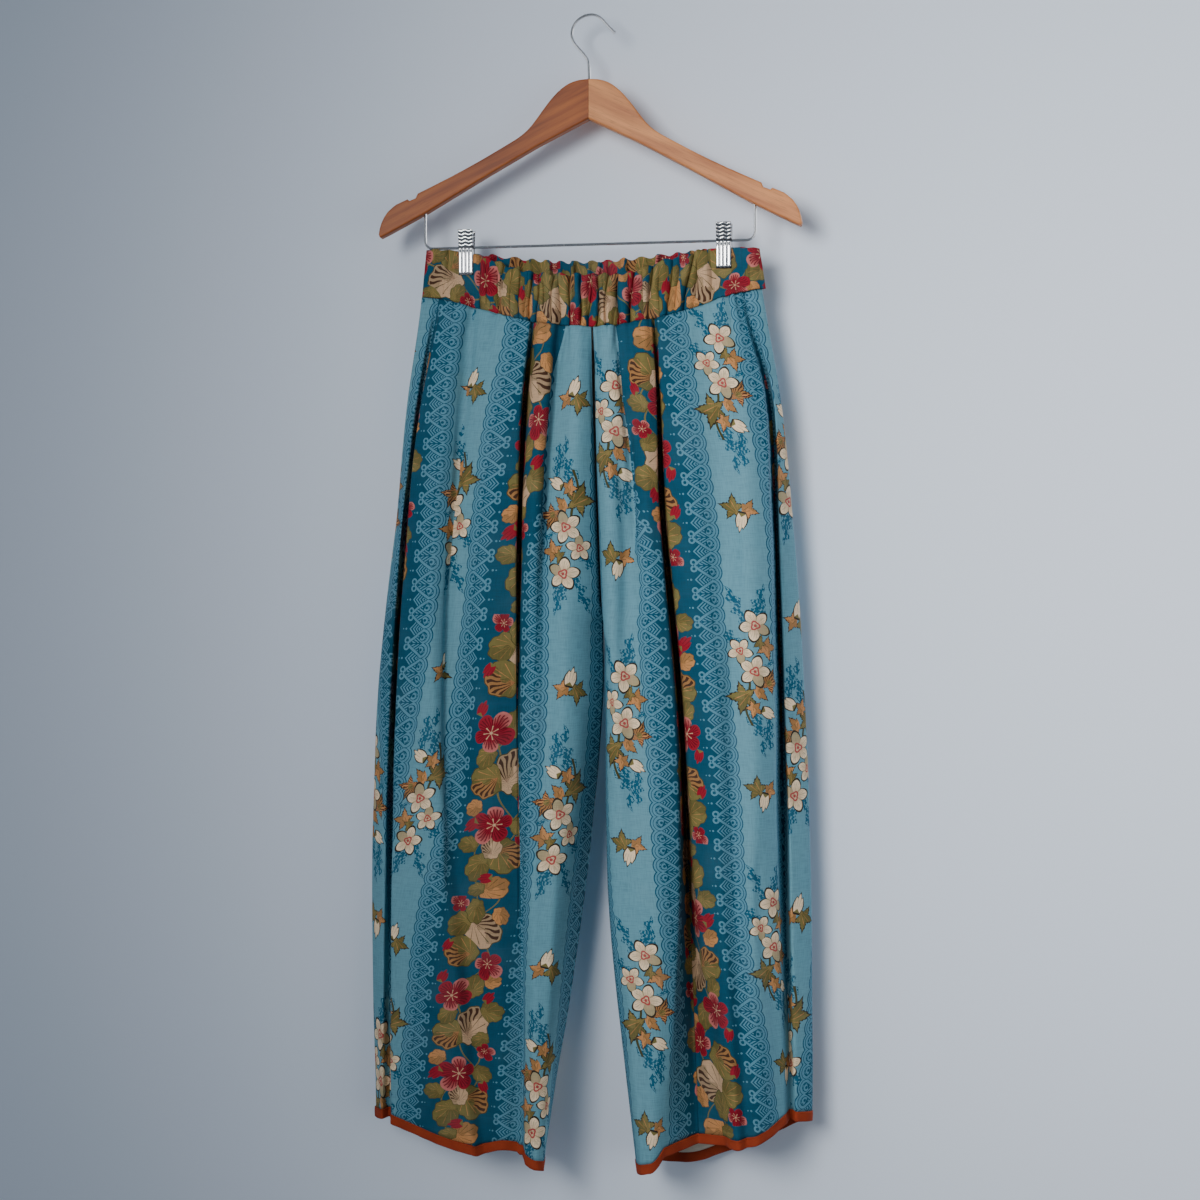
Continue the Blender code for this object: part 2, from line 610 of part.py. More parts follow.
def build_drill():
    """The cutter for the stem's hole in the joint and the bar's two holes under the arms."""
    holes = bmesh.new()
    under = curve_through([p[0] for p in reversed(ARM_UNDER)], [p[1] for p in reversed(ARM_UNDER)], BAR_REACH)
    joint_top = ARM_TOP[0][1]
    past, radius = 8.0, (WIRE_RADIUS + HOLE_PLAY) * MM
    spots = [(HANGER_CENTRE, 0.0, joint_top - STEM_DEEP - HOLE_PLAY, joint_top + past)]
    for way in (-1, 1):
        spots.append((HANGER_CENTRE + way * BAR_REACH, BAR_DEPTH, under - past,
                      under + ARM_HOLE_DEEP + HOLE_PLAY))
    for x, y, low, high in spots:
        middle = Matrix.Translation(Vector((x, y, (low + high) / 2)) * MM)
        bmesh.ops.create_cone(holes, cap_ends=True, segments=HOLE_SIDES, radius1=radius, radius2=radius,
                              depth=(high - low) * MM, matrix=middle)
    mesh = bpy.data.meshes.new("drill")
    holes.to_mesh(mesh)
    holes.free()
    drill = bpy.data.objects.new("drill", mesh)
    bpy.context.scene.collection.objects.link(drill)
    drill.hide_render = True
    drill.display_type = "WIRE"
    return drill, under


def wire(name, points, finish, ball=1.0):
    """A round wire along a list of places in millimetres; the last point may swell into a ball."""
    curve = bpy.data.curves.new(name, "CURVE")
    curve.dimensions = "3D"
    curve.bevel_depth = WIRE_RADIUS * MM
    curve.bevel_resolution = 2
    curve.use_fill_caps = True
    spline = curve.splines.new("POLY")
    spline.points.add(len(points) - 1)
    for spot, point in zip(spline.points, points):
        spot.co = (*(Vector(point) * MM), 1.0)
    if ball > 1.0:
        for back, swell in ((1, 0.5), (2, ball), (3, ball), (4, 1.0)):
            spline.points[-back].radius = swell
    spline.use_smooth = True
    curve.materials.append(finish)
    thing = bpy.data.objects.new(name, curve)
    bpy.context.scene.collection.objects.link(thing)
    return thing


def build_hook(finish):
    line = rounded([(HOOK[0][0], ARM_TOP[0][1] - STEM_DEEP), *HOOK[1:]], 2)
    tip, before = line[-1], line[-2]
    along = (tip - before).normalized()
    ball = [tip + along * step for step in (0.9, 2.1, 2.7)]
    points = [(p.x, 0.0, p.y) for p in [*line, *ball]]
    wire("hanger_hook", points, finish, TIP_BALL)


def build_bar(finish, under):
    """The trouser bar: two uprights and the level wire between them, bent round at the corners."""
    top = under + ARM_HOLE_DEEP
    points = [(-BAR_REACH, top), (-BAR_REACH, BAR_HEIGHT + BAR_CORNER)]
    for step in range(1, 5):
        angle = math.pi + step / 5 * math.pi / 2
        points.append((-BAR_REACH + BAR_CORNER + BAR_CORNER * math.cos(angle),
                       BAR_HEIGHT + BAR_CORNER + BAR_CORNER * math.sin(angle)))
    points.append((-BAR_REACH + BAR_CORNER, BAR_HEIGHT))
    points += [(-x, z) for x, z in reversed(points)]
    wire("hanger_bar", [(x + HANGER_CENTRE, BAR_DEPTH, z) for x, z in points], finish)


# ---------------------------------------------------------------- clips
def build_clip_plate(leg, face, finish):
    """A sprung plate: five ribs across its grip and four flutes down its jaw."""
    way = -1 if face == "front" else 1
    heights = [blend(CLIP_TOP, CLIP_GRIP_END, i / (2 * GRIP_RIBS)) for i in range(2 * GRIP_RIBS + 1)]
    heights += [CLIP_JAW_TOP, CLIP_JAW_END, CLIP_FOOT]
    columns = 2 * JAW_FLUTES
    plate = bmesh.new()
    sides = []
    for skin in (0.5, -0.5):
        grid = []
        for number, z in enumerate(heights):
            line = []
            for column in range(columns + 1):
                across = column / columns
                rib = RIB_HIGH * (1 if number % 2 else -1) if number < 2 * GRIP_RIBS else 0.0
                flute = FLUTE_HIGH * (-1 if column % 2 else 1) if number > 2 * GRIP_RIBS else 0.0
                crown = 1.0 - (2 * across - 1) ** 4
                depth = curve_through(CLIP_HEIGHTS, CLIP_DEPTHS, z)
                depth += (rib + flute) * crown + skin * CLIP_SHEET
                x = CLIP_PLACES[leg] + (across - 0.5) * CLIP_WIDE
                line.append(plate.verts.new(hung((x, way * depth, z))))
            grid.append(line)
        sides.append(grid)
    outer, inner = sides
    rows = len(heights)
    for r in range(rows - 1):
        for c in range(columns):
            plate.faces.new((outer[r][c], outer[r + 1][c], outer[r + 1][c + 1], outer[r][c + 1]))
            plate.faces.new((inner[r][c], inner[r][c + 1], inner[r + 1][c + 1], inner[r + 1][c]))
        for c in (0, columns):
            plate.faces.new((outer[r][c], inner[r][c], inner[r + 1][c], outer[r + 1][c]))
    for c in range(columns):
        for r in (0, rows - 1):
            plate.faces.new((outer[r][c], outer[r][c + 1], inner[r][c + 1], inner[r][c]))
    bmesh.ops.recalc_face_normals(plate, faces=plate.faces)
    name = f"clip_{leg}_{face}"
    mesh = bpy.data.meshes.new(name)
    plate.to_mesh(mesh)
    plate.free()
    place(name, mesh, finish)


def build_clip_spring(leg, finish):
    """The sprung coil round the bar between a clip's plates, as a plain sleeve."""
    sleeve = bmesh.new()
    rings = []
    for x in (-SPRING_LONG / 2, SPRING_LONG / 2):
        for radius in (SPRING_OUTER, WIRE_RADIUS + SEAM_GAP):
            ring = []
            for step in range(SPRING_SIDES):
                angle = step / SPRING_SIDES * 2 * math.pi
                spot = (CLIP_PLACES[leg] + x, radius * math.cos(angle), BAR_HEIGHT + radius * math.sin(angle))
                ring.append(sleeve.verts.new(hung(spot)))
            rings.append(ring)
    for a, b in ((0, 2), (2, 3), (3, 1), (1, 0)):
        for i in range(SPRING_SIDES):
            j = (i + 1) % SPRING_SIDES
            sleeve.faces.new((rings[a][i], rings[a][j], rings[b][j], rings[b][i]))
    bmesh.ops.recalc_face_normals(sleeve, faces=sleeve.faces)
    name = f"clip_{leg}_spring"
    mesh = bpy.data.meshes.new(name)
    sleeve.to_mesh(mesh)
    sleeve.free()
    place(name, mesh, finish)


# ---------------------------------------------------------------- assembly
def build():
    clear_scene()
    cotton = material("printed_cotton", (0.10, 0.30, 0.38), 0.85)
    border = material("waistband_cotton", (0.05, 0.16, 0.20), 0.85)
    bias = material("rust_binding", (0.42, 0.08, 0.03), 0.8)
    beech = material("stained_beech", (0.50, 0.22, 0.10), 0.45)
    chrome = material("chrome_wire", (0.75, 0.76, 0.78), 0.15, 1.0)
    tops = {}
    for leg in ("right", "left"):
        tops[leg] = build_leg(leg, cotton)
        build_binding(leg, bias)
    build_waistband(border, tops)
    drill, under = build_drill()
    for side in ("right", "left"):
        build_arm(side, beech, drill)
    build_hook(chrome)
    build_bar(chrome, under)
    for leg in CLIP_PLACES:
        for face in ("front", "back"):
            build_clip_plate(leg, face, chrome)
        build_clip_spring(leg, chrome)


build()
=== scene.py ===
"""Barrel leg trousers of printed cotton, clipped to a wooden trouser hanger."""
import math
from collections import namedtuple

import bpy
import numpy as np
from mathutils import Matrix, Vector


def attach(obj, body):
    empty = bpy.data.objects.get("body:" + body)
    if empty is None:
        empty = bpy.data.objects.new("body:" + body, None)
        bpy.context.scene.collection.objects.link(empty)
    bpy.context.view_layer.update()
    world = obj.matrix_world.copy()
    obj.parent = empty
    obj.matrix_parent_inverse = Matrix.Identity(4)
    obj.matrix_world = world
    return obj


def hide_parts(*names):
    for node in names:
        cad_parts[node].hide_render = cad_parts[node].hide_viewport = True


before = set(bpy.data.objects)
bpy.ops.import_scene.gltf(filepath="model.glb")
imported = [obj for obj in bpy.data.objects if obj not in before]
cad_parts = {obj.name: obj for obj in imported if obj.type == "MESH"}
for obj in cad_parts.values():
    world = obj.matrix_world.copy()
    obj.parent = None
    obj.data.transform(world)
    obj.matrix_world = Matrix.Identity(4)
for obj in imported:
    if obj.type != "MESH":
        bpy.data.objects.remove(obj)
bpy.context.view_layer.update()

# ---------- backdrop, light and camera
# A plain pale board stands just behind the trousers and takes their soft shadow, as a studio's would.
# From behind it is clear and lets the rear light by, so that the trousers' back can be seen too.
# Soft lights stand in front, on both sides and behind, and the camera stands a little to the right.
MM = 0.001
BOARD_Y = 36 * MM
BOARD_HALF, BOARD_LOW, BOARD_HIGH = 3, -2.6, 1.6
BOARD_COLOUR = (0.72, 0.81, 0.94, 1.0)
ROOM_COLOUR, ROOM_STRENGTH = (0.60, 0.70, 0.82, 1.0), 0.24
VIEW_TURN = math.radians(9.5)
VIEW_AWAY = 2200 * MM
VIEW_TARGET = Vector((10.26, -6.08, -609.4)) * MM
LENS_LONG, SENSOR_WIDE = 63.46, 36.0


def placed(name, data):
    """A new object in the scene."""
    thing = bpy.data.objects.new(name, data)
    bpy.context.scene.collection.objects.link(thing)
    return thing


mesh = bpy.data.meshes.new("backdrop")
mesh.from_pydata([(-BOARD_HALF, BOARD_Y, BOARD_LOW), (BOARD_HALF, BOARD_Y, BOARD_LOW),
                  (BOARD_HALF, BOARD_Y, BOARD_HIGH), (-BOARD_HALF, BOARD_Y, BOARD_HIGH)],
                 [], [(0, 1, 2, 3)])
board = placed("backdrop", mesh)
paint = bpy.data.materials.new("backdrop")
paint.use_nodes = True
nodes, links = paint.node_tree.nodes, paint.node_tree.links
shader = nodes["Principled BSDF"]
shader.inputs["Base Color"].default_value = BOARD_COLOUR
shader.inputs["Roughness"].default_value = 0.9
behind = nodes.new("ShaderNodeNewGeometry")
clear = nodes.new("ShaderNodeBsdfTransparent")
either = nodes.new("ShaderNodeMixShader")
links.new(behind.outputs["Backfacing"], either.inputs[0])
links.new(shader.outputs["BSDF"], either.inputs[1])
links.new(clear.outputs["BSDF"], either.inputs[2])
links.new(either.outputs["Shader"], nodes["Material Output"].inputs["Surface"])
mesh.materials.append(paint)
board.visible_shadow = False


def soft_light(name, place, aim, size, power, colour, spread):
    """A round lamp at a place in metres, turned to its aim. spread is in degrees."""
    lamp = bpy.data.lights.new(name, "AREA")
    lamp.shape = "DISK"
    lamp.size = size
    lamp.spread = math.radians(spread)
    lamp.energy = power
    lamp.color = colour
    thing = placed(name, lamp)
    thing.location = place
    thing.rotation_euler = (Vector(aim) - Vector(place)).to_track_quat("-Z", "Y").to_euler()


soft_light("key", (-0.52, -2.4, 0.05), (1.3, 0.05, -0.6), 1.25, 18.5, (1.0, 0.97, 0.94), 70)
soft_light("left_fill", (-1.7, -1.9, -0.2), (-0.5, 0, -0.5), 1.4, 3.4, (0.96, 0.98, 1.0), 130)
soft_light("rear", (1.9, 1.7, 0.3), (0, 0, -0.6), 1.0, 13.0, (1.0, 0.98, 0.96), 110)
soft_light("right_fill", (1.9, -2.0, -0.9), (0.5, 0, -0.9), 1.8, 4.5, (1.0, 0.98, 0.96), 120)
world = bpy.data.worlds.new("room")
world.use_nodes = True
world.node_tree.nodes["Background"].inputs["Color"].default_value = ROOM_COLOUR
world.node_tree.nodes["Background"].inputs["Strength"].default_value = ROOM_STRENGTH
bpy.context.scene.world = world

lens = bpy.data.cameras.new("camera")
lens.lens = LENS_LONG
lens.sensor_width = SENSOR_WIDE
camera = placed("camera", lens)
looking = Vector((-math.sin(VIEW_TURN), math.cos(VIEW_TURN), 0))
camera.location = VIEW_TARGET - looking * VIEW_AWAY
camera.rotation_euler = looking.to_track_quat("-Z", "Y").to_euler()
bpy.context.scene.camera = camera


# ---------- printed cotton
# A matte cotton twill, printed on its face with lengthwise stripes: light blue with cream flowers, a
# scrolled border, then deep teal with crimson flowers and round leaves. The reverse is unprinted cream.
# Every point of the cloth carries its place on the flat cut: across the stripes, and along them.
def maths(operation, after=False):
    """A method that adds a maths node for its value and others; after puts the value behind the other."""
    if after:
        return lambda value, other: value.math(operation, other, value)
    return lambda value, *others: value.math(operation, value, *others)


class Shade:
    """A shader's value. Arithmetic on it adds a node to its tree, so a pattern reads as a sum."""

    def __init__(self, tree, socket):
        self.tree, self.socket = tree, socket

    def node(self, kind, settings=(), values=(), output=0):
        made = self.tree.nodes.new(kind)
        for name, value in dict(settings).items():
            setattr(made, name, value)
        for name, value in dict(values).items():
            plug = made.inputs[name]
            if isinstance(value, Shade):
                self.tree.links.new(value.socket, plug)
            elif plug.type == "RGBA" and len(value) == 3:
                plug.default_value = (*value, 1.0)
            else:
                plug.default_value = value
        return Shade(self.tree, made.outputs[output])

    def math(self, operation, *values):
        return self.node("ShaderNodeMath", {"operation": operation}, dict(enumerate(values)))

    __add__, __radd__ = maths("ADD"), maths("ADD", after=True)
    __sub__, __rsub__ = maths("SUBTRACT"), maths("SUBTRACT", after=True)
    __mul__, __rmul__ = maths("MULTIPLY"), maths("MULTIPLY", after=True)
    __truediv__, __pow__, __abs__ = maths("DIVIDE"), maths("POWER"), maths("ABSOLUTE")
    __lt__, __gt__ = maths("LESS_THAN"), maths("GREATER_THAN")
    sin, cos, frac, floor = maths("SINE"), maths("COSINE"), maths("FRACT"), maths("FLOOR")
    least, most = maths("MINIMUM"), maths("MAXIMUM")
    within = maths("COMPARE")       # within(middle, reach) is 1 no further than reach from middle

    def held(self, high=1.0):
        return self.least(high).most(0.0)

    def zigzag(self):
        """How far the value is from the middle between two whole numbers."""
        return abs(self.frac() - 0.5)

    def turn_from(self, across):
        """The angle of (across, self), in radians."""
        return self.math("ARCTAN2", self, across)

    def mix(self, low, high):
        """The colour low where the value is 0, and high where it is 1."""
        return self.node("ShaderNodeMix", {"data_type": "RGBA"}, {0: self, 6: low, 7: high}, 2)

    def number(self, low, high):
        """The number low where the value is 0, and high where it is 1."""
        return self * (high - low) + low

    def parts(self):
        split = self.node("ShaderNodeSeparateXYZ", (), {0: self})
        return [Shade(self.tree, out) for out in split.socket.node.outputs]

    def stored(self, name):
        """What every point of the mesh carries under a name."""
        return self.node("ShaderNodeAttribute", {"attribute_name": name}, (), 1)

    def noise(self, scales, detail=2.0):
        """Soft mottling from 0 to 1 over a place given as a vector, finer with greater scales."""
        place = self.node("ShaderNodeVectorMath", {"operation": "MULTIPLY"}, {0: self, 1: scales})
        return place.node("ShaderNodeTexNoise", (), {"Vector": place, "Scale": 1.0, "Detail": detail})


def new_material(name, settings):
    """A material, its shader node and a first value to build sums from."""
    made = bpy.data.materials.new(name)
    made.use_nodes = True
    shader = made.node_tree.nodes["Principled BSDF"]
    for socket, value in settings.items():
        shader.inputs[socket].default_value = value
    return made, shader, Shade(made.node_tree, None)


def feed(shader, socket, value):
    value.tree.links.new(value.socket, shader.inputs[socket])


def bumped(shader, height, distance, strength):
    relief = {"Height": height, "Distance": distance, "Strength": strength}
    feed(shader, "Normal", height.node("ShaderNodeBump", (), relief))


def table(kind, *rows):
    return [kind(*row) for row in rows]


# One repeat of the print, in millimetres of flat cloth. It is 202 across, from the middle of one light
# stripe to the next, and 300 long. A motif's size is half its width, or a spray's scale. flat is its
# height over its width, and turn is in degrees. kind is 0 for a cream flower or bud and 1 for a crimson
# one. A leaf's is 0 olive, 0.2 olive with a maroon and peach fan, 0.4 blush with a maroon fan, 0.6 peach.
REPEAT_WIDE, REPEAT_LONG = 202.0, 300.0
WIDE_FROM, LONG_FROM = -50.0, -105.0
DARK_MIDDLE = REPEAT_WIDE / 2
LIGHT_HALF = 26.0               # half the light stripe's width, where the border begins
LIGHT_REACH = 45.0              # light motifs lie nearer to the light stripe's middle than this
HEART_LONG = REPEAT_LONG / 10   # one scroll of the border
PETAL_TURN = 5 / math.tau       # five petals, or five points of a leaf, in one turn
Motif = namedtuple("Motif", "u v size flat turn kind")
FLOWERS = table(
    Motif, (7, 131, 16.5, 1, 80, 0), (-11, 104, 13.5, 1, 20, 0), (3, 82, 16.5, 1, 35, 0),
    (122, 14, 26, 0.9, 200, 1), (104, 110, 27, 0.95, 20, 1), (76, 84, 15, 0.8, 160, 1),
    (82, -26, 22, 0.9, 110, 1), (126, -96, 15, 0.8, 300, 1),
)
LEAVES = table(
    Motif, (17, 108, 12.5, 1, -40, 0.6), (18, 70, 13, 1, 30, 0.2), (-11, 55, 17, 1, 215, 0),
    (5, 60, 11, 1, -80, 0.6), (-7, -45, 13, 1, 125, 0), (7, -47, 11, 1, 20, 0.6),
    (86, 146, 22, 0.9, 140, 0.2), (114, 160, 18, 0.9, 60, 0), (90, 184, 17, 0.9, 200, 0.6),
    (122, -72, 17, 0.9, 20, 0), (95, -66, 25, 0.92, 150, 0.4), (116, -40, 22, 0.9, -20, 0.2),
    (72, 34, 15, 0.9, 180, 0), (94, 52, 24, 0.9, 250, 0.4), (120, 62, 21, 0.9, 20, 0.2),
    (76, 112, 13, 0.8, 160, 0), (131, 134, 13, 0.8, 0, 0), (96, 4, 15, 0.9, 250, 0),
    (131, 92, 12, 0.8, 30, 0.6), (74, -4, 11, 0.8, 200, 0.6),
)
TOP_LEAVES = table(
    Motif, (10, 112, 9, 0.8, 100, 0), (-2, 43, 10, 0.9, -70, 0.6), (106, -88, 16, 0.8, 100, 0),
    (102, 136, 14, 0.8, -70, 0.4), (124, 38, 13, 0.8, 60, 0), (82, 70, 12, 0.8, 30, 0),
    (76, -84, 12, 0.7, 120, 0.6), (110, 186, 12, 0.7, 20, 0),
)
BUDS = table(
    Motif, (14, 37, 8.5, 0.68, -30, 0), (0, -59, 9.5, 0.64, 255, 0), (132, 112, 10, 0.7, 40, 1),
    (73, 128, 8, 0.7, 120, 1), (134, -10, 8, 0.7, 250, 1), (134, -48, 8, 0.7, 60, 1),
    (102, 172, 9, 0.7, 10, 1), (76, 16, 9, 0.7, 230, 1),
)
SPRAYS = table(
    Motif, (0, 132, 1.55, 1, 12, 0), (5, 140, 1.25, 1, -38, 0), (-13, 114, 1.15, 1, 62, 0),
    (-2, 35, 1.5, 1, 172, 0), (-6, 28, 1.2, 1, 222, 0), (14, 28, 1.15, 1, 160, 0),
    (20, 90, 0.8, 1, -80, 0),
)

LIGHT_BLUE = (0.130, 0.318, 0.405)
DEEP_TEAL = (0.006, 0.070, 0.128)
SCROLL_LIGHT = (0.096, 0.268, 0.370)
SCROLL_DARK = (0.008, 0.072, 0.135)
SPRAY_BLUE = (0.013, 0.100, 0.178)
CREAM = (0.92, 0.72, 0.49)
CREAM_SHADE = (0.40, 0.33, 0.19)
CRIMSON = (0.31, 0.008, 0.024)
CRIMSON_DARK = (0.130, 0.002, 0.010)
PINK = (0.56, 0.17, 0.15)
PETAL_RED = (0.42, 0.06, 0.06)
OUTLINE = (0.030, 0.022, 0.014)
OLIVE = (0.192, 0.160, 0.050)
OLIVE_DARK = (0.060, 0.055, 0.015)
MAROON = (0.065, 0.010, 0.014)
PEACH = (0.55, 0.25, 0.09)
BLUSH = (0.58, 0.38, 0.23)
REVERSE = (0.66, 0.60, 0.50)
REVERSE_SHADE = (0.50, 0.45, 0.37)


def nearest(place, motifs):
    """The place as the nearest motif sees it: its edge is 1 from its middle, and z holds its kind."""
    best = None
    for motif in motifs:
        size = (motif.size, motif.size * motif.flat, 1)
        seen = place.node("ShaderNodeMapping", {"vector_type": "TEXTURE"}, {
            "Vector": place, "Location": (motif.u, motif.v, -motif.kind),
            "Rotation": (0, 0, math.radians(motif.turn)), "Scale": size})
        away = seen.node("ShaderNodeVectorMath", {"operation": "LENGTH"}, {0: seen}, 1)
        if best is not None:
            closer = away < reach
            seen = closer.node("ShaderNodeMix", {"data_type": "VECTOR"}, {0: closer, 4: best, 5: seen}, 1)
            away = away.least(reach)
        best, reach = seen, away
    x, y, kind = best.parts()
    return x, y, kind, (x * x + y * y) ** 0.5, y.turn_from(x)


def apart(x, y, x0, y0):
    """The distance of (x, y) from (x0, y0)."""
    return ((x - x0) ** 2 + (y - y0) ** 2) ** 0.5


def border(s, v, ground):
    """The scrolled border's colour over ground. s is the distance from the light stripe's middle."""
    side = abs(((v / HEART_LONG).frac() - 0.5) * HEART_LONG)
    off = HEART_LONG / 2 - side
    deep = s - LIGHT_HALF
    lobe = apart(side, deep, 7.2, 9.5) - 6.2
    fall = ((deep - 9.5) / 17.5).held()
    heart = (deep > 9.5).number(lobe, (side - 13.4 * (1 - fall) ** 0.8) * 0.8)
    light = heart.within(0, 1.25) * (deep < 27.5) + heart.within(2.9, 0.95) * (deep < 13)
    curl = apart(side, deep, 6.4, 10)
    light = light + curl.within(2.5, 1) * (deep + side * 0.4 < 14.5)
    vein = ((deep * 0.7 - side * 1.2 - 0.8) / 3.7).frac() < 0.52
    light = light + vein * (heart < -1.8) * (curl > 4.1) * (side > 0.6)
    hook = apart(side, deep, 3.5, 28)
    light = light + hook.within(2.6, 0.95) * (deep + side > 29)
    nest = deep + off * 0.95
    scales = ((nest / 3.7).frac() < 0.48) * (heart > 2) * (deep > 12) * (nest < 29) * (hook > 3.9)
    light = light + scales
    light = light + (off ** 2 + (deep - 31.5) ** 2 < 1.3) + (off ** 2 + (deep - 35) ** 2 < 0.6)
    light = light.least(1)
    drawn = light.mix(SCROLL_DARK, SCROLL_LIGHT)
    drawn = ((nest > 28) * (heart > 1) * (1 - light)).mix(drawn, DEEP_TEAL)
    return ((heart < 5) + (deep > 8)).least(1).mix(ground, drawn)


def spray(x, y):
    """1 on a coral-like spray that grows along y."""
    x = x + 1.2 * (y / 2.6).sin() + 0.012 * (y * y)
    off = abs(x)
    rise = (y - off * 0.9 + (x > 0) * 2.4) / 4.8
    twig = rise.zigzag()
    leaf = (twig < 0.44) * (((off + y * 0.3) / 2.9).frac() < 0.60)
    spread = off < (9.5 - abs(y - 11) * 0.5) * (0.76 + 0.24 * (y * 0.7 + (x > 0) * 2).sin())
    return (((twig < 0.15) + leaf) * spread + (off < 0.8) * y.within(12, 13.5)).least(1)


def print_colour(start):
    """The print's colour, the place on the cut, and 0 on the cloth's face or 1 on its reverse."""
    cloth = start.stored("cloth")
    across, along, face = cloth.parts()
    past, hidden, _ = start.stored("tuck").parts()
    across = across + (past > 0) * hidden
    u = ((across - WIDE_FROM) / REPEAT_WIDE).frac() * REPEAT_WIDE + WIDE_FROM
    v = ((along - LONG_FROM) / REPEAT_LONG).frac() * REPEAT_LONG + LONG_FROM
    place = u.node("ShaderNodeCombineXYZ", (), {0: u, 1: v})
    in_light = u < LIGHT_REACH
    s = abs(u).least(REPEAT_WIDE - u)

    x, y, _, _, _ = nearest(place, SPRAYS)
    colour = (spray(x, y) * in_light).mix(LIGHT_BLUE, SPRAY_BLUE)
    colour = border(s, v, colour)

    swing = 14 * (v * (math.tau / 150)).sin() + 7 * (v * (math.tau / 75) + 1).sin()
    stems = (u - DARK_MIDDLE - swing).within(0, 0.9)
    stems = stems + (u - DARK_MIDDLE + 20 * (v * (math.tau / 100) + 2).sin()).within(0, 0.8)
    stems = stems + (u + 7 - 3.5 * (v / 9).sin()).within(0, 1.3) * v.within(48, 24)
    colour = stems.least(1).mix(colour, in_light.mix(OLIVE, OLIVE_DARK))

    for leaves in (LEAVES, TOP_LEAVES):
        x, y, kind, r, angle = nearest(place, leaves)
        tooth = (angle * PETAL_TURN).zigzag() * 2
        jag = (angle * (25 / math.tau) + 0.5).zigzag() * 2
        maple = (1.06 - 0.56 * tooth ** 0.62 - 0.09 * (1 - jag)) * (0.96 + 0.16 * angle.cos())
        round_leaf = 0.93 + 0.05 * (angle * 6).sin() + 0.03 * (angle * 11 + 1).sin()
        q = r / in_light.number(round_leaf, maple)
        fan = y.turn_from(x + 0.55)
        vein = (fan * 2.3).zigzag() < 0.045 + 0.02 * in_light
        zone = fan.within(0.55, 0.62) * (r > 0.22) * (kind < 0.5) + in_light * (r > 0.3)
        zone = (zone * (kind > 0.1)).least(1)
        stripe = ((fan * 3.9 + 0.10 * (r * 12).sin()).frac() < 0.18 + r * 0.45) * (q < 0.92)
        leaf = (kind > 0.5).mix((kind > 0.3).mix(OLIVE, BLUSH), PEACH)
        leaf = (zone * stripe * (kind < 0.5)).mix(leaf, MAROON)
        leaf = (zone * (1 - stripe) * (kind < 0.3)).mix(leaf, PEACH)
        leaf = (vein * (q < 0.8) * (1 - zone)).mix(leaf, (kind > 0.3).mix(PEACH, OLIVE_DARK))
        leaf = ((y * 0.8 + x * 0.3 > 0.12 * (x * 8).sin()) * 0.38).mix(leaf, OLIVE_DARK)
        rim = in_light.number(1.05, 1.16)
        colour = (q < rim).mix(colour, (q < 1).mix(in_light.mix(OLIVE_DARK, OUTLINE), leaf))

    x, y, kind, r, angle = nearest(place, FLOWERS)
    turn = angle * PETAL_TURN
    seam = turn.zigzag() * 2
    edge = 1 - kind.number(0.46, 0.40) * seam ** kind.number(1.5, 3)
    edge = edge * (1 - kind * 0.16 * (1 - angle.cos()))
    q = r / edge
    pick = (turn.floor() * 2.4 + 0.5).sin()
    rays = (angle * 31 + 2 * (r * 7).sin()).sin() > 0.30
    petal = ((pick > 0.75) * (1 - kind)).mix(kind.mix(CREAM, CRIMSON), CREAM_SHADE)
    tip = ((q - 0.42) * 1.9).held() * kind * (pick > 0.4)
    petal = tip.mix(petal, PINK)
    petal = (((0.72 - r) * 1.3).held(0.55) * (1 - kind)).mix(petal, BLUSH)
    shade = kind.mix(CREAM_SHADE, CRIMSON_DARK)
    petal = (rays * q.within(0.50, 0.36) * kind.number(0.42, 0.9)).mix(petal, shade)
    petal = (seam > kind.number(0.86, 0.93)).mix(petal, shade)
    petal = ((seam < 0.07) * (q < 0.75) * 0.5).mix(petal, shade)
    ring = (r - 0.24 - 0.05 * (angle * 3).sin()).within(0, 0.055) + (r < 0.10)
    petal = (ring.least(1) * (1 - kind)).mix(petal, PETAL_RED)
    heart = (kind * (r < 0.30) * ((angle * 7).sin() > 0.80) + kind * (r < 0.06)).least(1)
    petal = heart.mix(petal, BLUSH)
    colour = (q < kind.number(1.13, 1)).mix(colour, (q < 1).mix(OUTLINE, petal))

    x, y, kind, _, _ = nearest(place, BUDS)
    flare = abs(y) / (0.62 + 0.34 * (x * 1.9 + 0.3).cos())
    crown = x / (0.80 + 0.26 * (y * 7.2).cos())
    tulip = flare.most(crown).most(x / -0.95)
    stripe = (y / (0.9 + 0.3 * x) * 1.9).zigzag() < 0.08 + 0.05 * x
    bud = kind.mix(CREAM, CRIMSON)
    bud = (stripe * (x > -0.3) * 0.75).mix(bud, kind.mix(CREAM_SHADE, CRIMSON_DARK))
    bud = (x + abs(y) * 0.6 < -0.52).mix(bud, OLIVE)
    return (tulip < kind.number(1.22, 1)).mix(colour, (tulip < 1).mix(OUTLINE, bud)), cloth, face


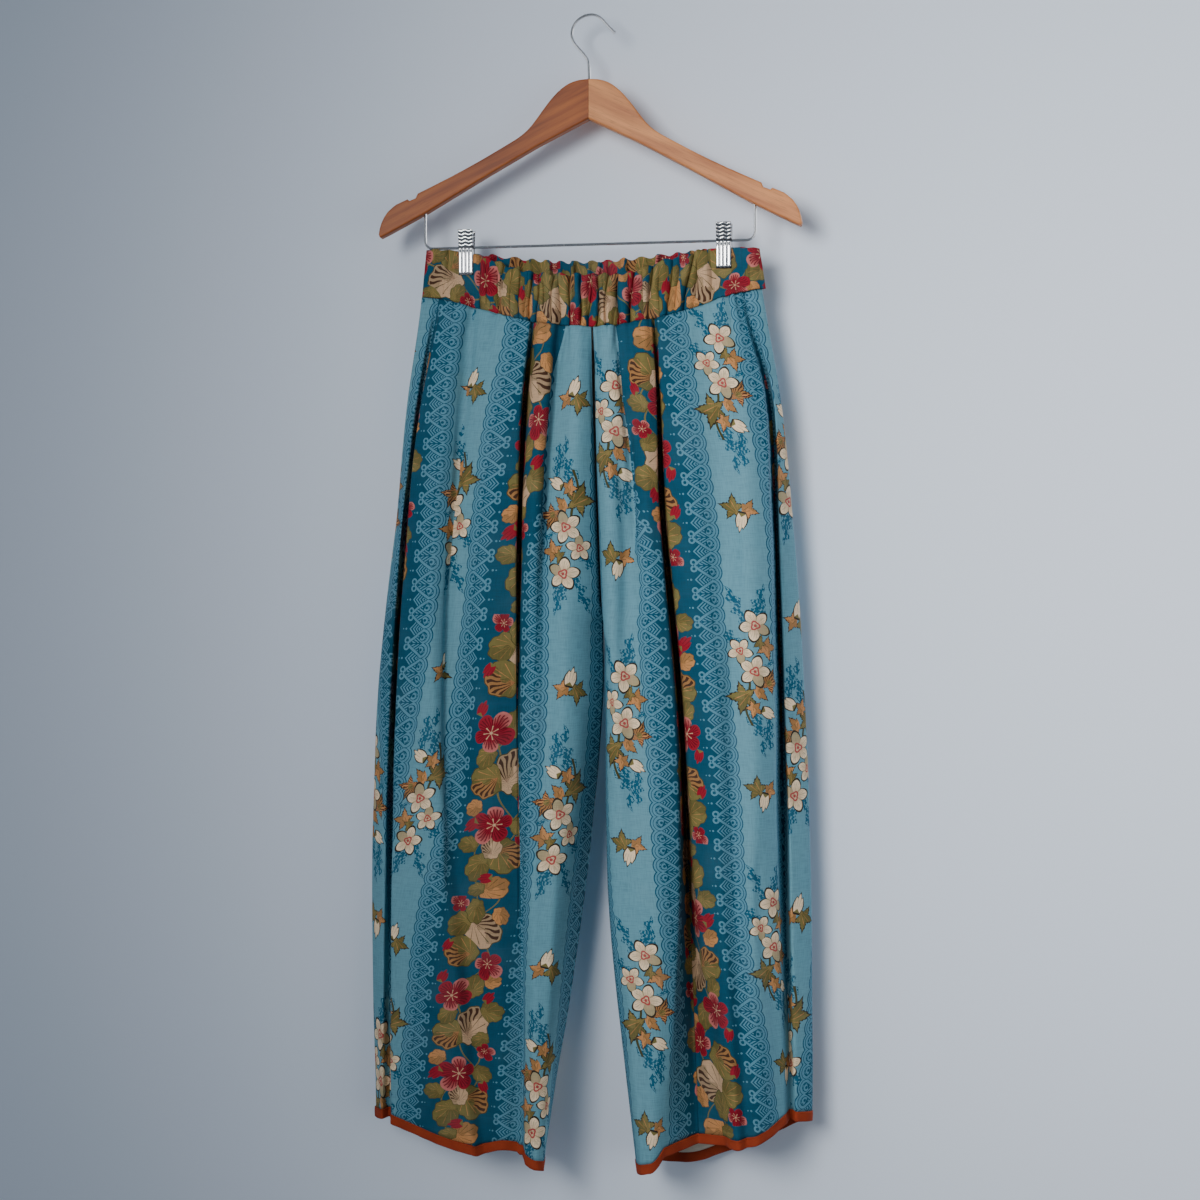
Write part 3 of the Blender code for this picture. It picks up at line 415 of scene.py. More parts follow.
TWILL_PITCH = 0.9
printed_cotton, cotton_shader, start = new_material("printed_cotton_visual", {
    "Roughness": 0.85, "Specular IOR Level": 0.18})
colour, cloth, face = print_colour(start)
across, along, _ = cloth.parts()
slub = cloth.noise((0.9, 0.07, 1.0)) + cloth.noise((0.07, 0.9, 1.0))
worn = cloth.noise((0.02, 0.02, 1.0), 3.0)
colour = ((slub - 0.88).held(0.6) * 0.55).mix(colour, (0.004, 0.012, 0.016))
colour = ((worn - 0.45).most(0.0) * 0.18).mix(colour, (0.30, 0.42, 0.46))
ground = ((slub - 0.6) * 0.5 + 0.2).mix(REVERSE, REVERSE_SHADE)
colour = face.mix(colour, ground)
feed(cotton_shader, "Base Color", colour)
twill = ((across + along) * (math.tau / TWILL_PITCH)).sin() * 0.25 + slub
bumped(cotton_shader, twill, 0.0004, 0.35)


# ---------- legs
# Each leg is a front in two panels of the printed cotton, joined by a seam in the floor of the deep
# front pleat, and a back that wraps round the side. They are sewn edge to edge, and the cloth hangs in
# long folds.
BAR_DEPTH = -7.83
SEAM_GAP = 0.3
GROOVE_FLOOR = 1.7
BINDING_TALL = 10.0
LEVELS = np.array([-312.0, -404.0, -527.0, -712.0, -917.0, -1174.0])
CROTCH = -632.0

# Each row of a table is one fold, in millimetres: its hem's height, and its place across and depth at
# each of LEVELS. It is soft, or pressed sharp ("fold"), or a narrow channel along a seam ("groove").
Fold = namedtuple("Fold", "name hem x y form", defaults=["soft"])
RIGHT_FRONT = table(
    Fold,
    ("side_seam", -1153, (-164, -181, -197, -209, -212, -213), (-2, 1, 3, 5, 0, -8), "groove"),
    ("side_fold", -1157, (-159, -175, -186, -197, -204, -206), (-7, -20, -32, -38, -34, -24), "fold"),
    ("outer_crest", -1178, (-138, -147, -154, -156, -142, -114), (-12, -30, -44, -50, -52, -52)),
    ("outer_hollow", -1178, (-123, -132, -135, -140, -127, -102), (-9, -20, -30, -32, -38, -42)),
    ("middle_crest", -1173, (-89, -97, -99, -102, -91, -83), (-16, -34, -46, -50, -52, -47)),
    ("pleat_outer", -1175, (-58, -66, -68, -70, -68, -69), (-20, -34, -44, -42, -44, -42), "fold"),
    ("pleat_seam", -1178, (-54.5, -68, -73, -69, -65, -64), (-16, -6, -8, -36, -42, -42), "groove"),
    ("pleat_inner", -1186, (-51, -56, -62, -64, -60, -58), (-21, -34, -44, -44, -46, -50), "fold"),
    ("inner_crest", -1189, (-37, -41, -48, -50, -50, -49), (-27, -42, -52, -52, -54, -56)),
    ("inner_hollow", -1190, (-23, -30, -39, -40, -41, -44), (-22, -26, -36, -48, -53, -56)),
    ("rise_crest", -1192, (-9, -8, -13, -16, -27, -40), (-28, -38, -44, -50, -50, -48)),
)
RIGHT_SIDE = table(
    Fold,
    ("side_edge", -1156, (-182, -196, -209, -229, -236, -231), (0, 2, 5, 8, 8, 5)),
    ("side_ridge", -1154, (-168.5, -184, -198, -211, -216, -219), (-5, -10, -13, -15, -17, -17), "fold"),
)
LEFT_FRONT = table(
    Fold,
    ("rise_fold", -1191, (13, 16, 20, 25, 27, 54), (-28, -38, -44, -46, -42, -40)),
    ("rise_crest", -1189, (26, 29, 31, 35, 40, 61), (-31, -44, -52, -58, -58, -58)),
    ("inner_hollow", -1187, (42, 48, 49, 52, 56, 68), (-26, -36, -42, -52, -58, -62)),
    ("inner_crest", -1184, (57, 62, 67, 76, 79, 76), (-30, -44, -54, -62, -62, -62)),
    ("pleat_inner", -1172, (66.5, 75, 80, 96, 100, 84), (-24, -38, -48, -54, -52, -54), "fold"),
    ("pleat_seam", -1165, (70, 73, 77, 95, 105, 117), (-19, -14, -6, -4, -8, -18), "groove"),
    ("pleat_outer", -1162, (73.5, 80, 87, 105, 117, 147), (-24, -36, -44, -46, -40, -34), "fold"),
    ("middle_crest", -1162, (89, 101, 115, 134, 142, 160), (-20, -38, -50, -58, -58, -52)),
    ("outer_hollow", -1160, (114, 131, 142, 153, 158, 168), (-13, -30, -40, -48, -50, -46)),
    ("outer_crest", -1156, (146, 162, 169, 176, 177, 181), (-14, -32, -46, -54, -54, -46)),
    ("side_fold", -1141, (160, 184, 190, 195, 197, 206), (-8, -22, -34, -40, -34, -20), "fold"),
    ("side_seam", -1139, (164.5, 187, 193, 199, 203, 210), (-2.5, 1, 3, 5, 2, -7), "groove"),
)
LEFT_SIDE = table(
    Fold,
    ("side_ridge", -1140, (169, 192, 198, 204, 210, 216), (-5, -10, -13, -15, -16, -13), "fold"),
    ("side_edge", -1142, (183, 198, 210, 222, 229, 230), (0, 2, 5, 5, 5, 2)),
)

# The back of both legs: across runs from the inner edge (0) to the side edge (1), y is the depth at
# each of LEVELS, and right and left are the height of each leg's hem.
BackFold = namedtuple("BackFold", "across y right left")
BACK = table(
    BackFold,
    (0.07, (14, 20, 26, 18, 18, 15), -1192, -1193),
    (0.17, (16, 26, 32, 29, 25, 22), -1189, -1195),
    (0.32, (14, 21, 26, 22, 19, 15), -1185, -1192),
    (0.49, (17, 28, 34, 34, 31, 28), -1181, -1184),
    (0.67, (12, 20, 26, 24, 22, 18), -1174, -1172),
    (0.84, (9, 17, 25, 29, 27, 24), -1165, -1156),
    (0.96, (4, 10, 16, 21, 20, 16), -1158, -1145),
)

# Centre seams above the crotch and the inseams below it, height by height.
Seam = namedtuple("Seam", "z x y")
CENTRE = Seam((-312, -404, -527, -632), (5.5, 8.5, 12.5, 16.5), None)
RISE_DEPTH = {
    "front": Seam((-312, -404, -527, -590, -618, -632), None, (-26, -26, -24, -21, -17, -12)),
    "back": Seam((-300, -404, -527, -585, -612, -632), None, (15, 21, 26, 21, 9, -12)),
}
INSEAM = {
    "right": Seam((-632, -712, -917, -1174), (15.2, 15.2, -5, -45), (-12, -10, -3, -10)),
    "left": Seam((-632, -712, -917, -1174), (17.8, 17.8, 22, 50), (-12, -10, -3, -6)),
}
INSEAM_HEM = {"right": -1193, "left": -1192}

# The waist seam's height across the front and the back: places across, then heights.
WAIST_SEAM = {
    "front": ((-182, -168, -141, -125, -92, -55, -22, 16, 67, 107, 137, 155, 168, 184),
              (-291, -292, -298, -303, -312, -321.5, -326, -328.5, -321.5, -310.5, -301.5, -295.5, -293,
               -290)),
    "back": ((-182, -90, 0, 100, 184), (-291, -301, -307, -300, -290)),
}
CLOTH_STEP = 2.4                # distance between two points across the cloth
UPPER_STEPS, LOWER_STEPS = 84, 136
CLOTH_THICK = 0.9


def curve(stations, values, at):
    """The smooth curve through a table's values, straight beyond its ends."""
    s, v, at = (np.asarray(a, float) for a in (stations, values, at))
    if s[0] > s[-1]:
        s, at = -s, -at
    slopes = np.concatenate([v[1:2] - v[:1], v[2:] - v[:-2], v[-1:] - v[-2:-1]])
    slopes = slopes / np.concatenate([s[1:2] - s[:1], s[2:] - s[:-2], s[-1:] - s[-2:-1]])
    k = np.clip(np.searchsorted(s, at, side="right") - 1, 0, len(s) - 2)
    width = s[k + 1] - s[k]
    t = np.clip((at - s[k]) / width, 0, 1)
    inside = hermite(v[k], slopes[k] * width, v[k + 1], slopes[k + 1] * width, t)
    return inside + slopes[0] * np.minimum(at - s[0], 0) + slopes[-1] * np.maximum(at - s[-1], 0)


def hermite(start, leave, stop, arrive, t):
    return ((2 * t**3 - 3 * t**2 + 1) * start + (t**3 - 2 * t**2 + t) * leave
            + (3 * t**2 - 2 * t**3) * stop + (t**3 - t**2) * arrive)


def leg_folds(leg):
    """All folds of a leg, from one edge at the rise round to the other."""
    front_rise, back_rise = (Fold(face, INSEAM_HEM[leg], None, None, "rise") for face in ("front", "back"))
    inner = fold_line(leg, front_rise, LEVELS)[:, 0]
    side = np.array((RIGHT_SIDE[0] if leg == "right" else LEFT_SIDE[1]).x)
    back = [Fold(f"back_{n}", getattr(row, leg), inner + (side - inner) * row.across, row.y)
            for n, row in enumerate(BACK)]
    if leg == "right":
        return [back_rise, *back, *RIGHT_SIDE, *RIGHT_FRONT, front_rise]
    return [front_rise, *LEFT_FRONT, *LEFT_SIDE, *reversed(back), back_rise]


def fold_line(leg, fold, z):
    """A fold's places across and depths at many heights."""
    if fold.form != "rise":
        return np.stack([curve(LEVELS, fold.x, z), curve(LEVELS, fold.y, z)], 1)
    seam, rise = INSEAM[leg], RISE_DEPTH[fold.name]
    upper = np.stack([curve(CENTRE.z, CENTRE.x, z), curve(rise.z, rise.y, z)], 1)
    lower = np.stack([curve(seam.z, seam.x, z), curve(seam.z, seam.y, z)], 1)
    return np.where((z > CROTCH + 0.01)[:, None], upper, lower)


def fold_top(fold):
    face = "back" if fold.name.startswith("back") else "front"
    return curve(*WAIST_SEAM[face], CENTRE.x[0] if fold.form == "rise" else fold.x[0])


def unit(vectors):
    return vectors / np.maximum(np.linalg.norm(vectors, axis=-1, keepdims=True), 1e-9)


def soft_pull(before, after, long):
    """How the cloth runs over a soft fold, from the folds on both sides of it."""
    way = after - before
    return np.column_stack([unit(way[:, :2]) * long, way[:, 2] / 2])


def leg_surface(leg, hem_rises=None):
    """A leg as rows of points in millimetres, with the columns where its seams lie. The rows are spread
    down the leg, or stand at hem_rises above the hem."""
    folds = leg_folds(leg)
    tops = np.array([fold_top(fold) for fold in folds]) - SEAM_GAP / 2
    hems = np.array([fold.hem for fold in folds])
    if hem_rises is None:
        hems = hems + (BINDING_TALL + SEAM_GAP / 2)
        upper = np.linspace(0, 1, UPPER_STEPS + 1)[:, None]
        lower = np.linspace(0, 1, LOWER_STEPS + 1)[1:, None]
        heights = np.concatenate([tops + (CROTCH - tops) * upper, CROTCH + (hems - CROTCH) * lower])
    else:
        heights = hems + hem_rises[:, None]
    spots = [np.column_stack([fold_line(leg, fold, z), z]) for fold, z in zip(folds, heights.T)]
    columns, seams = [], {}
    for i, fold in enumerate(folds):
        if fold.form == "groove":
            seams[fold.name] = len(columns) + 1
            columns += [spots[i] + (aside, 0, 0) for aside in (-GROOVE_FLOOR, 0, GROOVE_FLOOR)]
        else:
            columns.append(spots[i])
        if i == len(folds) - 1:
            break
        after = folds[i + 1]
        start = spots[i] + (GROOVE_FLOOR * (fold.form == "groove"), 0, 0)
        stop = spots[i + 1] - (GROOVE_FLOOR * (after.form == "groove"), 0, 0)
        leave = arrive = stop - start
        long = np.linalg.norm(leave[:, :2], axis=1, keepdims=True)
        if fold.form == "soft":
            leave = soft_pull(spots[i - 1], spots[i + 1], long)
        if after.form == "soft":
            arrive = soft_pull(spots[i], spots[i + 2], long)
        gaps = fold_line(leg, after, LEVELS) - fold_line(leg, fold, LEVELS)
        steps = max(math.ceil(np.linalg.norm(gaps, axis=1).max() / CLOTH_STEP), 2)
        columns += [hermite(start, leave, stop, arrive, step / steps) for step in range(1, steps)]
    return np.stack(columns, 1), seams


def softened(points, turns):
    """The rows with their pressed folds rounded a little, as thick cotton turns."""
    points = points.copy()
    flat = points[:, :, :2]
    for _ in range(turns):
        flat[:, 1:-1] = flat[:, 1:-1] * 0.5 + (flat[:, :-2] + flat[:, 2:]) * 0.25
    return points


def outward(points):
    """Directions out of the cloth at each point of its rows."""
    return unit(np.cross(np.gradient(points, axis=1), -np.gradient(points, axis=0)))


def shell(name, points, normals, thick, finish, cloth, ring=False, reverse=1.0, tuck=None):
    """A thin closed sheet through rows of points in millimetres. cloth holds each point's place on the
    cut, and tuck how far it is past an open tuck and the width hidden there. reverse is 1 where the inner
    side is unprinted."""
    sides = [points + normals * thick / 2, points - normals * thick / 2]
    spots = np.concatenate([side.reshape(-1, 3) for side in sides])
    spots[:, 1] += BAR_DEPTH
    inner = points[:, :, 0].size
    number = np.arange(inner).reshape(points.shape[:2])
    if ring:
        number = np.hstack([number, number[:, :1]])
    a, b, c, d = number[:-1, :-1], number[1:, :-1], number[1:, 1:], number[:-1, 1:]
    quads = [np.stack([a, b, c, d], -1).reshape(-1, 4), np.stack([a, d, c, b], -1).reshape(-1, 4) + inner]
    rims = [(number[0, 1:], number[0, :-1]), (number[-1, :-1], number[-1, 1:])]
    if not ring:
        rims += [(number[:-1, 0], number[1:, 0]), (number[1:, -1], number[:-1, -1])]
    quads += [np.stack([one, one + inner, two + inner, two], -1) for one, two in rims]
    mesh = bpy.data.meshes.new(name)
    mesh.from_pydata(spots * MM, [], np.concatenate(quads), shade_flat=False)
    for label, values, back in (("cloth", cloth, reverse), ("tuck", tuck, 0.0)):
        if values is not None:
            both = [np.dstack([values, np.full(values.shape[:2], side)]) for side in (0.0, back)]
            held = mesh.attributes.new(label, "FLOAT_VECTOR", "POINT")
            held.data.foreach_set("vector", np.stack(both).astype(np.float32).ravel())
    mesh.materials.append(finish)
    piece = placed(name, mesh)
    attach(piece, "root")
    return piece


# How the cut lies on each panel. light is the distance from the panel's first edge to the middle of a
# light stripe, and along is the place on the repeat's length, both at heights z down the leg. way is -1
# on the panels that are cut upside down. size and area are the cut's, in metres. Beyond an open tuck
# some of the cloth's width is out of sight.
Lay = namedtuple("Lay", "size area way z light along tuck", defaults=[None])
Tuck = namedtuple("Tuck", "beyond z run hidden")
LAYS = {
    "right_front_outer": Lay(
        (0.22, 0.88), 0.166, -1, (-320, -387, -488, -609, -700, -812, -962, -1070, -1150),
        (57, 73, 85, 92, 88, 73, 34, 14, 0), (-120, -50, 58, 180, 270, 380, 550, 680, 775),
        Tuck(-1, (-320, -386, -444, -487, -612, -695, -806, -920), (46, 66, 79, 88, 99, 105, 107, 106),
             (6, 8, 14, 18, 18, 14, 6, 0))),
    "right_front_inner": Lay(
        (0.14, 0.87), 0.100, -1, (-345, -400, -533, -697, -826, -983, -1103, -1180),
        (68, 87, 97, 68, 53, 36, 31, 29), (-105, -50, 80, 250, 380, 550, 680, 760),
        Tuck(-1, (-325, -405, -479, -510, -545, -580), (41, 61.6, 70.6, 70.6, 68, 63),
             (40, 40, 32, 20, 8, 0))),
    "right_back": Lay(
        (0.33, 0.90), 0.246, 1, (-345, -482, -612, -692, -780, -960, -1032, -1150),
        (184, 209, 232, 252, 264, 263, 251, 240), (552, 415, 285, 205, 117, -63, -135, -253)),
    "left_front_inner": Lay(
        (0.18, 0.87), 0.133, 1, (-340, -440, -570, -736, -860, -1014, -1144, -1180),
        (20, 32, 44, 61, 72, 77, 71, 69), (485, 380, 250, 80, -50, -220, -350, -390),
        Tuck(1, (-328, -406, -446, -490, -530, -575), (30, 43, 50.7, 56, 60, 62),
             (46, 45, 38, 32, 18, 0))),
    "left_front_outer": Lay(
        (0.19, 0.87), 0.142, 1, (-332, -391, -522, -683, -804, -961, -1084, -1140),
        (69, 84, 116, 120, 124, 119, 130, 134), (142, 80, -50, -220, -350, -520, -650, -708)),
    "left_back": Lay(
        (0.30, 0.90), 0.226, -1, (-350, -487, -571, -760, -922, -1035, -1140),
        (38, 35, 38, 35, 26, 3, -20), (-328, -191, -107, 82, 244, 357, 462)),
}


def row_steps(points):
    return np.linalg.norm(np.diff(points, axis=1), axis=2)


def along_rows(points):
    """Each point's distance along its row, from the row's first point."""
    return np.pad(np.cumsum(row_steps(points), axis=1), ((0, 0), (1, 0)))


def on_cut(points, lay):
    """Each point's place on the flat cut, across the stripes and along them."""
    across = along_rows(points) - curve(lay.z, lay.light, points[:, :, 2])
    return np.stack([across * lay.way, curve(lay.z, lay.along, points[:, :, 2])], 2)


def off_tuck(points, tuck):
    return along_rows(points) - curve(tuck.z, tuck.run, points[:, :, 2])


def in_tuck(points, tuck, values):
    return np.interp(-points[:, :, 2], [-height for height in tuck.z], values)


def past_tuck(points, lay):
    """How far each point is past the panel's open tuck, and the width of cloth out of sight in it."""
    if not lay.tuck:
        return None
    past = off_tuck(points, lay.tuck) * lay.tuck.beyond
    return np.stack([past, in_tuck(points, lay.tuck, lay.tuck.hidden) * lay.tuck.beyond * lay.way], 2)


# Creases hung into the cloth, in millimetres: from one place to another on the front or back, how deep
# (a ridge if negative) and how wide to one side. The short ones fall from the waistband's gathers.
Crease = namedtuple("Crease", "x0 z0 x1 z1 deep wide")
CREASES = {
    "front": table(
        Crease, (-29, -322, -31, -396, 2.8, 2.6), (-19, -324, -20, -374, 2.2, 2.2),
        (-41, -322, -50, -376, 1.8, 2.4), (11, -324, 10, -380, 2.6, 2.4), (24, -322, 22, -352, 2.0, 2.4),
        (33, -322, 30, -392, 2.4, 2.6), (-96, -306, -103, -350, 1.6, 3.0),
        (-122, -300, -136, -372, 1.8, 3.5), (84, -312, 92, -352, 1.6, 2.8),
        (118, -304, 128, -340, 1.4, 3.0), (146, -300, 158, -372, 1.6, 3.2),
        (-142, -850, -118, -1160, 3.5, 7.0), (-94, -720, -92, -980, -1.5, 8.0),
        (128, -1010, 140, -1140, 2.4, 6.0), (40, -880, 52, -1110, 1.8, 7.0),
        (-30, -640, -46, -930, 1.6, 7.0), (24, -640, 30, -800, 1.8, 5.0),
        (160, -450, 168, -760, 2.0, 6.0), (-121, -318, -140, -520, 3.2, 6.5),
        (37, -430, 43, -730, 3.0, 5.5), (186, -850, 193, -1130, 3.2, 6.0), (36, -790, 40, -930, 1.8, 6.0),
        (-176, -620, -190, -900, 2.4, 6.0), (-12, -700, -22, -1000, -2.2, 8.0),
        (146, -560, 150, -800, -1.8, 7.0),
    ),
    "back": table(
        Crease, (-60, -310, -76, -450, 3.8, 4.0), (-104, -306, -118, -400, 2.5, 3.6),
        (-22, -314, -26, -392, 3.0, 3.2), (30, -314, 38, -420, 3.2, 3.6), (74, -308, 92, -396, 2.5, 4.0),
        (124, -302, 140, -470, 3.2, 4.6), (-96, -560, -128, -820, 4.3, 9.0),
        (-58, -700, -84, -1100, 4.3, 9.0), (66, -600, 104, -900, 4.3, 9.0),
        (110, -760, 120, -1120, 3.8, 8.0), (-112, -440, -150, -720, 5.2, 6.5),
        (-38, -430, -50, -660, 4.9, 6.0), (18, -440, 30, -610, 4.6, 5.5),
        (148, -480, 178, -780, 5.5, 7.0), (-8, -575, -64, -505, 3.8, 5.0), (10, -575, 68, -515, 3.8, 5.0),
        (-152, -840, -166, -1130, 6.1, 7.5), (-26, -820, -40, -1080, 4.9, 7.0),
        (56, -880, 66, -1150, 5.8, 7.0), (156, -840, 176, -1100, -3.5, 8.0),
    ),
}


BACK_FACING = 0.25              # cloth belongs to the back where its direction's y is over this
GATHERS_END = -330              # creases that start above this height begin at full depth
GATHER_DEEP, GATHER_TALL = 1.2, 30.0
TUCK_DEEP, TUCK_WIDE, TUCK_FULL = 6.4, 4.6, 16
TUCK_LIP, TUCK_LIP_WIDE = 2.0, 13.0
RISE_SEAM_DEEP, RISE_SEAM_WIDE = 2.6, 3.4
DRIFT_DEEP = 0.40


def bell(off, wide, power=2):
    """1 in the middle, falling to nothing over a width."""
    return np.exp(-(np.abs(off / wide) ** power))


def creased(points, normals, panels):
    """The rows with waist gathers, tucks and listed creases pressed in."""
    rise = np.zeros(points.shape[:2])
    below = points[:1, :, 2] - points[:, :, 2]
    run = along_rows(points[:1])
    pull = np.sin(run / 2.3 + 1.4 * np.sin(run / 9.0)) * (0.6 + 0.4 * np.sin(run / 21.0))
    rise += GATHER_DEEP * pull * bell(below, GATHER_TALL, 1.2)
    x, z = points[:, :, 0], points[:, :, 2]
    faces = {"front": normals[:, :, 1] < BACK_FACING, "back": normals[:, :, 1] > BACK_FACING}
    for face, crease in ((face, crease) for face in CREASES for crease in CREASES[face]):
        way = np.array([crease.x1 - crease.x0, crease.z1 - crease.z0], float)
        long = np.linalg.norm(way)
        way /= long
        t = ((x - crease.x0) * way[0] + (z - crease.z0) * way[1]) / long
        off = (x - crease.x0) * way[1] - (z - crease.z0) * way[0]
        off = off + 0.02 * long * np.sin(t * 5 + crease.x0)
        fade = np.clip(np.minimum(t * 8 + (crease.z0 > GATHERS_END), (1 - t) * 1.6), 0, 1)
        rise -= crease.deep * faces[face] * fade * bell(off, crease.wide)
    for lay, (first, stop) in panels:
        if lay.tuck:
            panel = points[:, first:stop + 1]
            off = off_tuck(panel, lay.tuck)
            full = np.minimum(np.array(lay.tuck.hidden) / TUCK_FULL, 1)
            dip = TUCK_DEEP * bell(off, TUCK_WIDE) - TUCK_LIP * bell(off, TUCK_LIP_WIDE)
            rise[:, first:stop + 1] -= in_tuck(panel, lay.tuck, full) * dip
    middle = np.minimum(along_rows(points), along_rows(points[:, ::-1])[:, ::-1])
    rise -= RISE_SEAM_DEEP * bell(middle, RISE_SEAM_WIDE) * np.clip((z - CROTCH) / 20, 0, 1)
    drift = (np.sin(x / 17 + z / 61 + 1.1 * np.sin(z / 43)) + np.sin(x / 29 - z / 97 + 2.0)
             + 0.6 * np.sin(x / 9 + z / 151 + np.sin(z / 70)))
    rise += DRIFT_DEEP * drift * np.clip(below / 60, 0, 1)
    return points + normals * rise[:, :, None]


leg_tops = {"front": [], "back": []}
for leg in ("right", "left"):
    surface, seams = leg_surface(leg)
    surface = softened(surface, 3)
    facing = outward(surface)
    last = surface.shape[1] - 1
    facing[:, [0, last], 2] = 0
    below = slice(UPPER_STEPS, None)
    facing[below, 0] = facing[below, last] = unit(facing[below, 0] + facing[below, last])
    side, pleat = seams["side_seam"], seams["pleat_seam"]
    if leg == "right":
        cuts = {"back": (0, side), "front_outer": (side, pleat), "front_inner": (pleat, last)}
    else:
        cuts = {"front_inner": (0, pleat), "front_outer": (pleat, side), "back": (side, last)}
    hung = creased(surface, facing, [(LAYS[f"{leg}_{panel}"], ends) for panel, ends in cuts.items()])
    hung_facing = outward(hung)
    hung_facing[:, [0, last]] = facing[:, [0, last]]
    for panel, (first, stop) in cuts.items():
        name = f"{leg}_{panel}"
        lay = LAYS[name]
        span = slice(first, stop + 1)
        piece = shell(name + "_cloth", hung[:, span], hung_facing[:, span], CLOTH_THICK, printed_cotton,
                      on_cut(surface[:, span], lay),
                      tuck=past_tuck(surface[:, span], lay))
        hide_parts(name)
        face = "back" if panel == "back" else "front"
    top = hung[0]
    edge = np.argmax(np.abs(top[:, 0]))
    leg_tops["back" if leg == "right" else "front"].append(top[:edge + 1])
    leg_tops["front" if leg == "right" else "back"].append(top[edge:])


# ---------- waistband
# One casing of the dark floral stripe, cut lengthwise, doubled over wide elastic that gathers it.
# It is sewn to the legs' top edge. The two clips press it flat near its ends.

# The band's top edge, front and back: places across, heights and depths.
BAND_EDGE = {
    "front": (
        (-176, -241, 0.9), (-170, -241.1, -2.4), (-164, -241.3, -3.2), (-153, -241.8, -2.7),
        (-142, -243, -1.4), (-121, -247.4, -1.4), (-106, -252.1, -4.5), (-80, -263.5, -10.5),
        (-52, -270.5, -15), (14, -274, -20), (40, -274, -20), (75, -262, -14), (112, -250.6, -4.5),
        (130, -247.7, -1.4), (150, -247.1, -1.4), (159, -247.5, -2.7), (167, -248, -3.2),
        (172, -248.4, -2.4), (178, -249, 0.8),
    ),
    "back": (
        (-176, -241, -0.9), (-170, -241.5, 2.4), (-164, -242, 3.2), (-153, -243, 2.7),
        (-142, -244, 1.4), (-121, -246.2, 1.4), (-106, -248.1, 3.6), (-33, -256, 7), (9, -256, 9),
        (52, -254, 7), (112, -248.9, 3.6), (130, -247.4, 1.4), (150, -247.2, 1.4), (159, -247.7, 2.7),
        (167, -248.2, 3.2), (172, -248.5, 2.4), (178, -249, -0.8),
    ),
}
BAND_SEAM_ENDS = (-178.8, 182.4)
BAND_EDGE_ENDS = (-174.3, 176.2)
BAND_END_BULGE = 3.0            # how far the band's ends round out from the flat,
BAND_END_ROUND = 8.0            # over this much of the end,
BAND_END_FADE = 70.0            # and this far in before it has faded out
CLIP_PLACES = {"right": -131.5, "left": 140.0}
CLIP_HOLD = 16.0                # the band lies flat this far to each side of a clip's middle
BAND_STEPS, BAND_COLUMNS = 24, 560
BAND_THICK = 1.6
BAND_FULLNESS = 1.2
BAND_CUT_HALF = 29
GATHER_PITCH = {"front": 15.5, "back": 17.0}
GATHER_PUFF = 1.9
Pucker = namedtuple("Pucker", "x deep wide lean")
PUCKERS = {
    "front": table(
        Pucker, (-150, 1.8, 2.0, 2), (-116, 2.0, 1.8, -3), (-92, 2.2, 1.8, 2), (-72, 1.8, 1.6, -2),
        (-60, 3.4, 1.7, 2), (-52, 2.4, 1.4, 1), (-36, 2.2, 1.6, 2), (-18, 3.6, 1.6, 1), (-6, 3.8, 1.5, 0),
        (4, 2.4, 1.4, 1), (12, 3.8, 1.6, 0), (21, 3.4, 1.5, 1), (33, 2.8, 1.6, -1), (47, 3.8, 1.7, 2),
        (66, 3.2, 1.8, 2), (86, 2.2, 1.8, 3), (104, 3.2, 1.8, 8), (156, 2.4, 2.0, 4),
    ),
    "back": table(
        Pucker, (-140, 1.8, 2.0, 2), (-104, 2.4, 1.8, -2), (-78, 2.8, 1.8, 1), (-44, 2.6, 1.6, 2),
        (-18, 3.0, 1.6, -1), (8, 2.8, 1.8, 1), (36, 3.0, 1.6, -2), (70, 2.6, 1.8, 2), (98, 2.2, 2.0, 1),
    ),
}


def eased(part):
    part = np.clip(part, 0, 1)
    return part * part * (3 - 2 * part)


